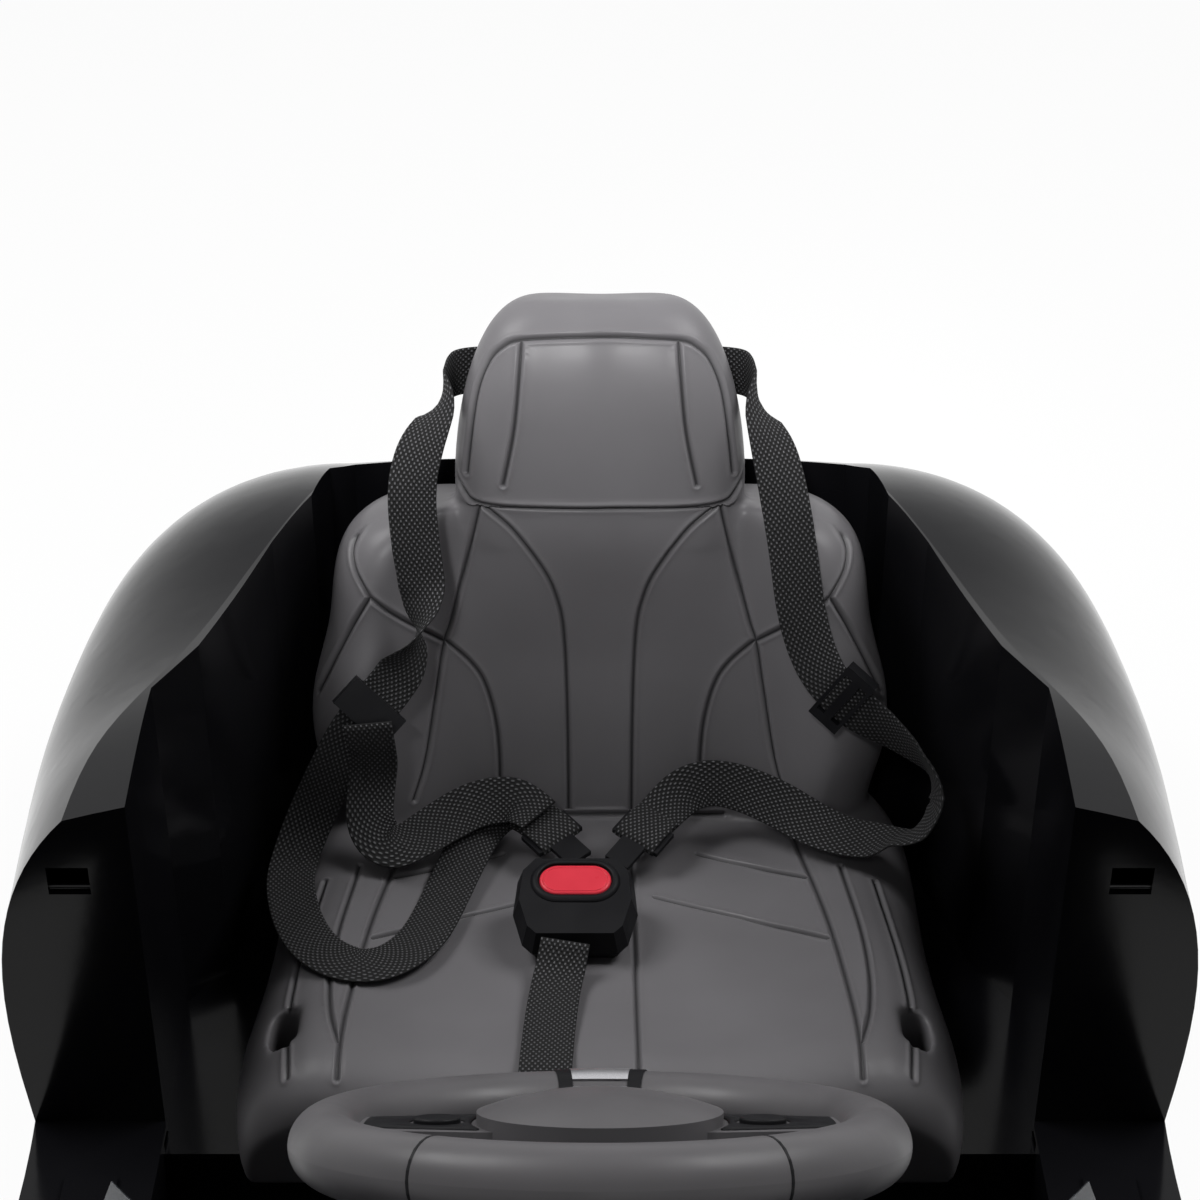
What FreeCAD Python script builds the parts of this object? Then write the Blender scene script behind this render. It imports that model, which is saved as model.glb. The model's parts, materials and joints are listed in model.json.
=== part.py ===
import FreeCAD, Part
import math
import os

Vector = FreeCAD.Vector

# Driving dimensions in millimetres. +Z is up, the car faces -Y, +X is the driver's left.

# Body shell
body_length = 1200
body_half_width = 305
deck_height = 400
wall = 3
overrun = 40
fit_gap = 0.4
panel_gap = 3
running_gap = 0.06

# Road wheels and axles
wheel_radius = 112
wheel_width = 72
rim_radius = 72
rim_lip = 4
hub_radius = 22
axle_radius = 6
wheel_end_gap = 1
front_axle_y = -400
rear_axle_y = 345
front_wheel_x = 234
rear_wheel_x = 236
tread_depth = 4
tread_groove = 5
tread_count = 28
tyre_shoulder = 9
spoke_count = 7
spoke_width = 15
spoke_depth = 12

# Wheel arches
front_arch_radius = 143
rear_arch_radius = 126
front_well_x = 148
rear_well_x = 192
arch_wall_gap = 4

# Steering
steer_angle = 18
wheel_turn_angle = 30
kingpin_x = 178
kingpin_radius = 5
kingpin_half_length = 34
axle_beam_width = 22
axle_beam_height = 14
knuckle_ear = 8
knuckle_radius = 12
knuckle_web = 6
tie_rod_z = 160
tie_rod_width = 18
tie_rod_thick = 4
tie_pin_radius = 4
crank_radius = 27
crank_drop = 16
column_radius = 6
column_lean_angle = 53
steering_centre_y = -212
steering_centre_z = 392
rim_outer_radius = 118
rim_tube_radius = 14
hub_pad_radius = 47
hub_pad_height = 13
spider_thick = 13
spider_half_height = 25
lower_spoke_half = 17
trim_thick = 3
button_radius = 9
button_travel = 2
button_height = 6
button_x = 62
slot_side_gap = 0.9
slot_end_gap = 7
bush_wall = 4
bush_length = 22
shroud_radius = 17

# Cockpit
jamb_y = 20
sill_top_z = 172
sill_rib_height = 3
sill_rib_width = 26
floor_top_z = 75
platform_z = 165
platform_lip = 16
cockpit_half_width = 219
footwell_half_width = 132
bulkhead_y = -332
pan_thick = 5
pan_z = 59

# Doors
door_inner_x = 240
trim_setback = 1.5
door_open_angle = 52
hinge_setback = 9
hinge_x = 282
hinge_pin_radius = 4
hinge_ear_thick = 8
hinge_ear_z = 268
hinge_ear_radius = 9
hinge_pin_reach = 16
hinge_relief_radius = 20
bolt_width = 9
bolt_height = 7
bolt_length = 62
bolt_throw = 12
bolt_x = 251
bolt_z = 328
bolt_gap = 0.5
pocket_width = 20
pocket_height = 16
striker_radius = 1.5
armrest_depth = 13
armrest_height = 26
armrest_length = 130

# Dashboard and its controls
dash_half_width = 205
dash_depth = 45
dash_bottom_z = 252
dash_top_z = 322
dash_overhang = 19
binnacle_half_width = 60
binnacle_top_z = 352
gauge_radius = 24
gauge_depth = 3
gauge_x = 58
start_button_x = -125
switch_width = 15
switch_height = 26
switch_depth = 12
switch_stand = 4
switch_pin_radius = 2
direction_switch_x = 122
speed_switch_x = 158
socket_radius = 8
socket_flange = 3
socket_x = -170

# Windscreen
screen_thick = 3
screen_base_half = 236
screen_top_half = 175
screen_base_y = -425
screen_base_side_y = -286
screen_top_y = -344
screen_top_side_y = -258
screen_top_z = 432
screen_base_z = 264
screen_side_drop = 14

# Lamps, grille and mirrors
lamp_thick = 5
lamp_depth = 22
lamp_flange = 5
grille_half_width = 96
grille_bar = 4
grille_pitch = 12
grille_thick = 5
mirror_stem_radius = 6
mirror_width = 58
mirror_height = 36
mirror_depth = 26
mirror_glass_thick = 2
mirror_x = 262
mirror_y = -290
mirror_lift = 34

# Seat
seat_corner_y = 235
seat_corner_z = 200
seat_half_width = 165
seat_thick = 40
back_length = 297
back_lean_angle = 15
cushion_length = 245
seat_slot_width = 14
seat_slot_length = 30
seat_slot_x = 158
seat_slot_forward = 200
seat_slot_floor = 8
screw_head_radius = 6
screw_head_height = 4
screw_slot_width = 1.4

# Harness
webbing_width = 26
webbing_thick = 1.4
adjuster_width = 36
adjuster_height = 19
adjuster_thick = 9
adjuster_wall = 1.4
adjuster_bar = 5
buckle_width = 66
buckle_length = 58
buckle_thick = 20
buckle_tilt_angle = 10
buckle_x = -13
buckle_forward = 115
buckle_lift = 28
red_button_width = 38
red_button_length = 20
red_button_stand = 1.5
red_button_travel = 3
tongue_width = 30
tongue_length = 34
tongue_thick = 3

# Drive
gearbox_width = 34
gearbox_radius = 44
motor_radius = 18
motor_length = 56
motor_offset = 60
battery_length = 151
battery_width = 65
battery_height = 92
battery_y = 150
battery_groove = 2
controller_length = 84
controller_width = 54
controller_height = 24
controller_x = 178
controller_y = 63
axle_bracket_x = 118
axle_bracket_thick = 6
axle_bracket_half = 16

# Accelerator pedal
pedal_x = -72
pedal_y = -268
pedal_width = 64
pedal_length = 66
pedal_thick = 7
pedal_lean_angle = 62
pedal_pin_radius = 4
pedal_barrel = 8
pedal_ear = 6
pedal_groove_count = 4

# Shares that shape single pieces
spoke_top_share = 0.72
spoke_low_share = 0.56
pad_dome_share = 0.65
trim_end_share = 0.7
rim_spoke_end_share = 0.62
cap_edge_share = 0.9
cap_crown_share = 0.5
gearbox_nose_share = 0.6
gearbox_foot_share = 0.4
soft_edge_share = 0.45
mirror_reach_share = 0.35
buckle_facet_share = 0.35
red_button_place_share = 0.17

# Cross sections from nose to tail. Each row gives the place along the length, then the rocker,
# flank, haunch, ridge and deck points as shares of half width and deck height, then the crown.
body_station_shares = [
    (-0.500, (0.393, 0.250), (0.439, 0.350), (0.426, 0.430), (0.367, 0.480), (0.197, 0.500), 0.508),
    (-0.492, (0.610, 0.215), (0.672, 0.350), (0.649, 0.465), (0.577, 0.530), (0.311, 0.553), 0.563),
    (-0.471, (0.774, 0.190), (0.846, 0.375), (0.820, 0.513), (0.728, 0.585), (0.393, 0.603), 0.620),
    (-0.417, (0.892, 0.170), (0.964, 0.413), (0.934, 0.565), (0.807, 0.665), (0.492, 0.663), 0.703),
    (-0.333, (0.938, 0.160), (1.000, 0.463), (0.977, 0.625), (0.859, 0.738), (0.541, 0.728), 0.775),
    (-0.242, (0.931, 0.160), (0.984, 0.488), (0.957, 0.713), (0.866, 0.830), (0.557, 0.863), 0.900),
    (-0.100, (0.918, 0.160), (0.954, 0.513), (0.921, 0.790), (0.836, 0.880), (0.557, 0.930), 0.960),
    (0.017, (0.918, 0.160), (0.948, 0.513), (0.905, 0.815), (0.820, 0.910), (0.557, 0.955), 0.980),
    (0.064, (0.925, 0.160), (0.967, 0.500), (0.915, 0.810), (0.790, 0.923), (0.525, 0.965), 0.990),
    (0.125, (0.931, 0.163), (0.990, 0.488), (0.921, 0.805), (0.689, 0.930), (0.426, 0.980), 0.998),
    (0.179, (0.938, 0.165), (1.000, 0.488), (0.908, 0.813), (0.613, 0.940), (0.361, 0.990), 1.000),
    (0.235, (0.938, 0.170), (1.000, 0.500), (0.872, 0.828), (0.525, 0.960), (0.311, 0.993), 1.000),
    (0.288, (0.938, 0.175), (1.000, 0.513), (0.836, 0.800), (0.475, 0.918), (0.279, 0.928), 0.930),
    (0.358, (0.931, 0.190), (0.993, 0.500), (0.826, 0.688), (0.492, 0.788), (0.295, 0.800), 0.804),
    (0.433, (0.905, 0.225), (0.961, 0.478), (0.826, 0.574), (0.548, 0.652), (0.311, 0.668), 0.674),
    (0.479, (0.846, 0.260), (0.892, 0.448), (0.787, 0.516), (0.584, 0.580), (0.328, 0.594), 0.600),
    (0.500, (0.738, 0.290), (0.777, 0.420), (0.695, 0.480), (0.541, 0.540), (0.311, 0.552), 0.558),
]
# How far each section point moves inward and down for one wall of inset
flank_inset_shares = (1.0, 0.0)
haunch_inset_shares = (0.9, 0.5)
ridge_inset_shares = (0.5, 1.0)
deck_inset_shares = (0.0, 1.0)

# Half outline of the cockpit opening behind the door jambs: half width and place along the body
cockpit_outline_shares = [
    (1.000, 0.0167),
    (1.014, 0.0967),
    (0.927, 0.1250),
    (0.836, 0.1792),
    (0.800, 0.2000),
    (0.722, 0.2350),
    (0.699, 0.2767),
    (0.639, 0.2850),
]

# Seat back sections: height, then half-width and forward shares of centre, panel, valley, crest,
# side and rear
seat_back_shares = [
    (-0.10, (0.00, 0.03), (0.30, 0.03), (0.50, 0.12), (0.77, 0.65), (0.90, 0.20), (0.84, -0.90)),
    (0.00, (0.00, 0.03), (0.30, 0.03), (0.51, 0.12), (0.79, 0.85), (0.92, 0.30), (0.82, -0.90)),
    (0.15, (0.00, 0.03), (0.30, 0.04), (0.52, 0.16), (0.81, 1.05), (0.95, 0.45), (0.82, -0.90)),
    (0.30, (0.00, 0.06), (0.30, 0.08), (0.51, 0.20), (0.81, 1.05), (0.95, 0.45), (0.82, -0.90)),
    (0.40, (0.00, 0.10), (0.29, 0.12), (0.50, 0.26), (0.77, 0.90), (0.90, 0.35), (0.82, -0.90)),
    (0.52, (0.00, 0.10), (0.29, 0.14), (0.49, 0.30), (0.75, 0.85), (0.87, 0.30), (0.81, -0.90)),
    (0.59, (0.00, 0.05), (0.27, 0.10), (0.46, 0.25), (0.68, 0.65), (0.81, 0.10), (0.76, -0.85)),
    (0.625, (0.00, -0.15), (0.22, -0.10), (0.37, 0.02), (0.56, 0.25), (0.68, -0.15), (0.64, -0.70)),
]
head_rest_shares = [
    (0.55, (0.00, 0.40), (0.16, 0.40), (0.30, 0.38), (0.42, 0.20), (0.45, -0.30), (0.40, -0.90)),
    (0.64, (0.00, 0.55), (0.18, 0.55), (0.33, 0.52), (0.45, 0.30), (0.48, -0.25), (0.42, -0.90)),
    (0.76, (0.00, 0.60), (0.18, 0.60), (0.33, 0.57), (0.44, 0.35), (0.47, -0.25), (0.42, -0.90)),
    (0.87, (0.00, 0.55), (0.16, 0.55), (0.30, 0.52), (0.40, 0.30), (0.43, -0.25), (0.38, -0.90)),
    (0.955, (0.00, 0.35), (0.13, 0.34), (0.25, 0.30), (0.33, 0.10), (0.36, -0.30), (0.31, -0.85)),
    (1.000, (0.00, -0.10), (0.09, -0.11), (0.17, -0.12), (0.23, -0.22), (0.25, -0.40), (0.22, -0.65)),
]
# Cushion sections: place forward of the corner, then centre height, valley, crest, side and base,
# as shares of cushion length, half width and seat thickness above the platform
cushion_shares = [
    (-0.16, 0.85, (0.53, 0.90), (0.78, 1.10), (0.87, 0.80), 0.89),
    (0.00, 0.88, (0.54, 0.93), (0.85, 1.25), (0.97, 1.00), 0.99),
    (0.33, 1.00, (0.56, 1.05), (0.85, 1.35), (1.00, 1.05), 1.03),
    (0.65, 1.25, (0.57, 1.28), (0.86, 1.50), (1.02, 1.15), 1.05),
    (0.88, 1.50, (0.59, 1.50), (0.88, 1.58), (1.04, 1.20), 1.07),
    (0.98, 1.50, (0.59, 1.45), (0.88, 1.45), (1.03, 1.05), 1.07),
    (1.03, 1.00, (0.58, 1.00), (0.87, 1.00), (1.01, 0.70), 1.05),
]

# Strap routes. Each row: sideways share of the seat half width, share of the back length up the
# back and share of the seat thickness out from it, then how far the webbing faces up (or sideways
# where below zero) rather than out of the back, then its roll about its own run in degrees.
strap_start_shares = [
    ((0.36, 0.845, -1.06), 0.0, 180),
    ((0.43, 0.845, -1.02), -0.3, 180),
    ((0.490, 0.845, -0.82), -0.8, 180),
    ((0.505, 0.843, -0.45), -1.0, 180),
    ((0.510, 0.835, -0.10), -1.0, 180),
]
right_shoulder_shares = [
    ((-0.535, 0.805, 0.40), 0.0, 50),
    ((-0.590, 0.745, 0.70), 0.0, 20),
    ((-0.612, 0.680, 0.90), 0.0, 0),
    ((-0.600, 0.585, 0.98), 0.0, 0),
    ((-0.578, 0.505, 1.02), 0.0, 10),
    ((-0.583, 0.460, 1.13), 0.0, 45),
    ((-0.595, 0.420, 1.22), 0.0, 90),
    ((-0.622, 0.380, 1.22), 0.0, 135),
    ((-0.660, 0.345, 1.22), 0.0, 172),
    ((-0.712, 0.308, 1.30), 0.0, 180),
    ((-0.800, 0.258, 1.44), 0.0, 180),
]
right_loop_shares = [
    ((-0.875, 0.180, 1.42), 0.0, 180),
    ((-0.960, 0.075, 1.20), 0.2, 180),
    ((-1.010, 0.010, 1.45), 0.6, 180),
    ((-1.020, -0.015, 2.15), 0.9, 180),
    ((-0.955, -0.035, 3.20), 1.0, 180),
    ((-0.860, -0.042, 3.90), 1.0, 180),
    ((-0.740, -0.050, 4.12), 1.0, 180),
    ((-0.630, -0.056, 3.75), 1.0, 180),
    ((-0.558, -0.055, 3.10), 1.0, 180),
    ((-0.512, -0.043, 2.25), 1.0, 180),
    ((-0.465, -0.018, 1.40), 0.8, 180),
    ((-0.405, 0.020, 0.75), 0.5, 180),
    ((-0.325, 0.050, 0.50), 0.4, 180),
    ((-0.255, 0.050, 0.66), 0.6, 180),
    ((-0.195, 0.034, 0.94), 0.8, 180),
]
right_return_shares = [
    ((-0.205, 0.058, 1.02), 0.8, 180),
    ((-0.262, 0.074, 0.82), 0.6, 180),
    ((-0.330, 0.075, 0.74), 0.4, 180),
    ((-0.425, 0.068, 0.80), 0.4, 180),
    ((-0.528, 0.048, 1.08), 0.5, 180),
    ((-0.629, 0.036, 1.62), 0.7, 180),
    ((-0.712, 0.044, 1.86), 0.6, 180),
    ((-0.765, 0.080, 1.62), 0.3, 180),
    ((-0.755, 0.140, 1.40), 0.0, 180),
    ((-0.742, 0.190, 1.46), 0.0, 180),
    ((-0.748, 0.235, 1.66), 0.0, 180),
    ((-0.755, 0.275, 1.70), 0.0, 180),
]
left_shoulder_shares = [
    ((0.530, 0.800, 0.40), 0.0, -50),
    ((0.572, 0.735, 0.70), 0.0, -20),
    ((0.604, 0.650, 0.92), 0.0, 0),
    ((0.632, 0.555, 1.02), 0.0, 0),
    ((0.652, 0.470, 1.06), 0.0, 0),
    ((0.690, 0.390, 1.12), 0.0, 10),
    ((0.745, 0.332, 1.28), 0.0, 15),
    ((0.850, 0.284, 1.46), 0.0, 15),
]
left_loop_shares = [
    ((0.970, 0.245, 1.58), 0.0, 40),
    ((1.065, 0.215, 2.00), 0.0, 75),
    ((1.090, 0.165, 2.35), 0.2, 80),
    ((1.060, 0.115, 2.30), 0.5, 60),
    ((0.990, 0.070, 2.05), 0.8, 30),
    ((0.900, 0.050, 1.78), 0.8, 0),
    ((0.792, 0.050, 1.60), 0.7, 0),
    ((0.695, 0.060, 1.30), 0.5, 0),
    ((0.595, 0.080, 0.98), 0.3, 0),
    ((0.486, 0.094, 0.70), 0.2, 0),
    ((0.383, 0.100, 0.56), 0.2, 0),
    ((0.300, 0.088, 0.56), 0.3, 0),
    ((0.232, 0.062, 0.70), 0.6, 0),
    ((0.175, 0.040, 0.98), 0.8, 0),
]
crotch_shares = [
    ((-0.108, -0.024, 3.72), 1.0, 0),
    ((-0.120, -0.060, 3.86), 1.0, 0),
    ((-0.137, -0.080, 4.20), 1.0, 0),
    ((-0.149, -0.092, 4.80), 1.0, 0),
    ((-0.158, -0.102, 5.60), 1.0, 0),
    ((-0.162, -0.112, 6.05), 0.9, 0),
    ((-0.163, -0.145, 6.38), 0.5, 0),
    ((-0.163, -0.190, 6.45), 0.1, 0),
    ((-0.163, -0.250, 6.35), 0.0, 0),
    ((-0.163, -0.310, 6.25), 0.0, 0),
]


# Small geometry helpers

def box(x_low, x_high, y_low, y_high, z_low, z_high):
    corner = Vector(x_low, y_low, z_low)
    return Part.makeBox(x_high - x_low, y_high - y_low, z_high - z_low, corner)


def rod(radius, start, end):
    run = end - start
    return Part.makeCylinder(radius, run.Length, start, run)


def axle_rod(radius, y, x_start, x_end):
    """A rod across the car at axle height."""
    return rod(radius, Vector(x_start, y, wheel_radius), Vector(x_end, y, wheel_radius))


def tube(outer, inner, start, end):
    return rod(outer, start, end).cut(rod(inner, start, end))


def prism(points, run):
    outline = Part.makePolygon(points + [points[0]])
    return Part.Face(outline).extrude(run)


def spline(points, closed=False):
    curve = Part.BSplineCurve()
    if closed:
        curve.interpolate(points, PeriodicFlag=True)
    else:
        curve.interpolate(points)
    return curve.toShape()


def mirrored(shape):
    return shape.mirror(Vector(), Vector(1, 0, 0))


def joined(first, *others):
    return first.fuse(list(others)).removeSplitter()


def carved(shape, tools):
    """Cuts one tool after another, which keeps the thin moulded walls sound."""
    for tool in tools:
        shape = shape.cut(tool)
    return shape


def turned(shape, pivot, axis, angle):
    result = shape.copy()
    result.rotate(pivot, axis, angle)
    return result


def softened(shape, radius, chosen):
    edges = [edge for edge in shape.Edges if chosen(edge)]
    return shape.makeFillet(radius, edges)


def flip(point):
    return Vector(-point.x, point.y, point.z)


# Body lofts

def body_section(station, inset):
    along_share, rocker, flank, haunch, ridge, deck, crown_share = station
    y = along_share * (body_length - inset - inset)

    def place(point, inset_shares):
        x = point[0] * body_half_width - inset_shares[0] * inset
        z = point[1] * deck_height - inset_shares[1] * inset
        return Vector(x, y, z)

    side = [place(rocker, flank_inset_shares), place(flank, flank_inset_shares),
            place(haunch, haunch_inset_shares), place(ridge, ridge_inset_shares)]
    deck_point = place(deck, deck_inset_shares)
    crown = Vector(0, y, crown_share * deck_height - inset)
    top = [side[-1], deck_point, crown, flip(deck_point), flip(side[-1])]
    other_side = [flip(point) for point in reversed(side)]
    edges = [spline(side), spline(top), spline(other_side)]
    low = side[0]
    if inset:
        skirt = low - Vector(0, 0, overrun)
        edges += [Part.makeLine(flip(low), flip(skirt)), Part.makeLine(flip(skirt), skirt),
                  Part.makeLine(skirt, low)]
    else:
        edges.append(Part.makeLine(flip(low), low))
    return Part.Wire(edges)


body_lofts = {}


def body_solid(inset):
    """The styled body; an inset one is carried on downward, to open whatever it hollows."""
    if inset not in body_lofts:
        sections = [body_section(station, inset) for station in body_station_shares]
        body_lofts[inset] = Part.makeLoft(sections, True, False)
    return body_lofts[inset]


def closed_hollow(y_low, y_high):
    """The inside of the nose or the tail, with a floor left under it."""
    outside = body_solid(0).common(band(y_low, y_high))
    outside.translate(Vector(0, 0, wall))
    return body_solid(wall).common(band(y_low, y_high)).common(outside)


def band(y_low, y_high):
    reach = body_half_width + overrun
    return box(-reach, reach, y_low, y_high, -overrun, deck_height + overrun)


def skin_layer(outer_inset, inner_inset):
    return body_solid(outer_inset).cut(body_solid(inner_inset))


charge_z = (floor_top_z + platform_z) / 2
nose_y = -body_length / 2 - overrun
tail_y = body_length / 2 + overrun
hinge_wall_y = front_axle_y + front_arch_radius + arch_wall_gap
hinge_y = hinge_wall_y + hinge_setback
nose_close_y = front_axle_y - front_arch_radius - wall - wall
tail_close_y = rear_axle_y + rear_arch_radius + wall + wall


def wheel_wells(axle_y, radius, inner_x, grow):
    reach = body_half_width + overrun
    arch = radius + grow
    start = Vector(inner_x - grow, axle_y, wheel_radius)
    well = rod(arch, start, Vector(reach, axle_y, wheel_radius))
    below = box(inner_x - grow, reach, axle_y - arch, axle_y + arch, -overrun, wheel_radius)
    well = well.fuse(below)
    return [well, mirrored(well)]


def hinge_reliefs(grow):
    start = Vector(hinge_x, hinge_y, sill_top_z - grow)
    relief = rod(hinge_relief_radius + grow, start, start + Vector(0, 0, deck_height))
    return [relief, mirrored(relief)]


def column_point(down, toward_lap=0):
    """A point of the steering column: down the shaft, then across toward the driver's lap."""
    lean = math.radians(column_lean_angle)
    y = steering_centre_y - down * math.cos(lean) + toward_lap * math.sin(lean)
    z = steering_centre_z - down * math.sin(lean) - toward_lap * math.cos(lean)
    return Vector(0, y, z)


def column_down_at_y(y):
    return (steering_centre_y - y) / math.cos(math.radians(column_lean_angle))


dash_bush_down = column_down_at_y(hinge_wall_y + dash_overhang)


# Lamp and grille openings are outlines seen from the front or the back, cut through the skin

def lamp_outline(corner_shares, y_low, y_high, grow):
    points = [Vector(x * body_half_width, y_low, z * deck_height) for x, z in corner_shares]
    outline = Part.makePolygon(points + [points[0]])
    if grow:
        outline = outline.makeOffset2D(grow)
    return Part.Face(outline).extrude(Vector(0, y_high - y_low, 0))


head_lamp_shares = [(0.42, 0.440), (0.80, 0.480), (0.90, 0.560), (0.62, 0.535)]
tail_lamp_shares = [(0.30, 0.425), (0.62, 0.400), (0.66, 0.455), (0.32, 0.500)]
grille_shares = [(-0.30, 0.300), (0.30, 0.300), (0.34, 0.425), (-0.34, 0.425)]
lamp_back_y = front_axle_y - front_arch_radius


def head_lamp_tool(grow):
    return lamp_outline(head_lamp_shares, nose_y, lamp_back_y, grow)


def tail_lamp_tool(grow):
    return lamp_outline(tail_lamp_shares, rear_axle_y + rear_arch_radius, tail_y, grow)


def grille_tool(grow):
    return lamp_outline(grille_shares, nose_y, lamp_back_y, grow)


# Body mouldings

def footwell_tool(grow):
    return box(-footwell_half_width - grow, footwell_half_width + grow, bulkhead_y - grow,
               hinge_wall_y + overrun, floor_top_z - grow, dash_bottom_z)


def steering_windows():
    reach_y = axle_beam_width + knuckle_radius
    low = wheel_radius - axle_beam_height - knuckle_radius
    high = tie_rod_z + tie_rod_thick + knuckle_radius
    window = box(footwell_half_width, front_well_x + overrun, front_axle_y - reach_y,
                 bulkhead_y - wall - wall, low, high)
    return [window, mirrored(window)]


def below_pan():
    reach = body_half_width + overrun
    return box(-reach, reach, nose_y, tail_y, -overrun, pan_z + pan_thick)


def dash_windows():
    start = hinge_wall_y - wall - wall
    end = hinge_wall_y + overrun
    main = box(-dash_half_width, dash_half_width, start, end, dash_bottom_z, dash_top_z)
    binnacle = box(-binnacle_half_width, binnacle_half_width, start, end, dash_bottom_z,
                   binnacle_top_z)
    return [main, binnacle]


def make_front_body():
    skin = body_solid(0).common(band(nose_y, hinge_wall_y))
    keep = wheel_wells(front_axle_y, front_arch_radius, front_well_x, wall)
    keep += hinge_reliefs(wall) + [footwell_tool(wall)]
    hollow = body_solid(wall).common(band(nose_close_y, hinge_wall_y - wall)).cut(keep)
    nose_hollow = closed_hollow(nose_y, nose_close_y)
    bush = rod(column_radius + bush_wall, column_point(column_down_at_y(bulkhead_y) - bush_length),
               column_point(column_down_at_y(bulkhead_y) + bush_length))
    shroud = rod(shroud_radius + fit_gap, column_point(0),
                 column_point(column_down_at_y(dash_front_y)))
    tools = [hollow, nose_hollow, footwell_tool(0), bush, shroud, below_pan()]
    tools += wheel_wells(front_axle_y, front_arch_radius, front_well_x, 0)
    tools += hinge_reliefs(0) + steering_windows() + dash_windows()
    tools += [head_lamp_tool(0), mirrored(head_lamp_tool(0)), grille_tool(0)]
    return carved(skin, tools)


def cockpit_tool(grow):
    half = []
    for width_share, along_share in cockpit_outline_shares:
        x = width_share * cockpit_half_width + grow
        half.append(Vector(x, along_share * body_length, platform_z - grow))
    half[0].y = jamb_y - overrun
    half[-1].y = half[-1].y + grow
    points = half + [flip(point) for point in reversed(half)]
    return prism(points, Vector(0, 0, deck_height))


def latch_pocket():
    half_width = pocket_width / 2
    half_height = pocket_height / 2
    return box(bolt_x - half_width, bolt_x + half_width, jamb_y - overrun, jamb_y + wall + wall,
               bolt_z - half_height, bolt_z + half_height)


def make_rear_body():
    skin = body_solid(0).common(band(jamb_y, tail_y))
    keep = wheel_wells(rear_axle_y, rear_arch_radius, rear_well_x, wall) + [cockpit_tool(wall)]
    hollow = body_solid(wall).common(band(jamb_y + wall, tail_close_y)).cut(keep)
    tail_hollow = closed_hollow(tail_close_y, tail_y).cut(keep)
    pocket = latch_pocket()
    drive_window = box(axle_bracket_x, rear_well_x + overrun, rear_axle_y - axle_bracket_half,
                       rear_axle_y + axle_bracket_half, -overrun, wheel_radius + axle_bracket_half)
    under_seat = box(-cockpit_half_width, cockpit_half_width, jamb_y - overrun,
                     jamb_y + wall, -overrun, platform_z - wall)
    tools = [hollow, tail_hollow, cockpit_tool(0), pocket, mirrored(pocket), under_seat, below_pan()]
    tools += [drive_window, mirrored(drive_window), tail_lamp_tool(0), mirrored(tail_lamp_tool(0))]
    tools += wheel_wells(rear_axle_y, rear_arch_radius, rear_well_x, 0)
    striker_start = Vector(bolt_x - pocket_width / 2 - wall, jamb_y + wall,
                           bolt_z - bolt_height / 2 - bolt_gap - striker_radius)
    striker = rod(striker_radius, striker_start,
                  striker_start + Vector(pocket_width + wall + wall, 0, 0))
    return joined(carved(skin, tools), striker, mirrored(striker))


def make_centre_tub():
    low_band = band(hinge_wall_y, jamb_y)
    skin = body_solid(0).common(low_band).common(
        box(-body_half_width - overrun, body_half_width + overrun, hinge_wall_y, jamb_y, 0, sill_top_z))
    inside = box(-cockpit_half_width, cockpit_half_width, hinge_wall_y - overrun,
                 jamb_y - platform_lip, floor_top_z, deck_height)
    lip_top = box(-cockpit_half_width, cockpit_half_width, jamb_y - platform_lip - overrun, jamb_y,
                  platform_z, deck_height)
    keep = [box(-cockpit_half_width - wall, cockpit_half_width + wall, hinge_wall_y - overrun,
                jamb_y - platform_lip + wall, floor_top_z - wall, deck_height),
            box(-cockpit_half_width, cockpit_half_width, jamb_y - platform_lip, jamb_y,
                platform_z - wall, deck_height)]
    hollow = body_solid(wall).common(band(hinge_wall_y + wall, jamb_y)).common(
        box(-body_half_width, body_half_width, hinge_wall_y, jamb_y, -overrun, sill_top_z - wall))
    hollow = hollow.cut(keep)
    socket = rod(socket_radius, Vector(socket_x, jamb_y - platform_lip - overrun, charge_z),
                 Vector(socket_x, jamb_y, charge_z))
    tub = carved(skin, [hollow, inside, lip_top, socket, below_pan()])
    rib_inner = door_inner_x - wall
    rib = box(rib_inner, rib_inner + sill_rib_width, hinge_wall_y + overrun, jamb_y - overrun,
              sill_top_z - wall, sill_top_z + sill_rib_height - fit_gap)
    return joined(tub, rib, mirrored(rib))


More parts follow.
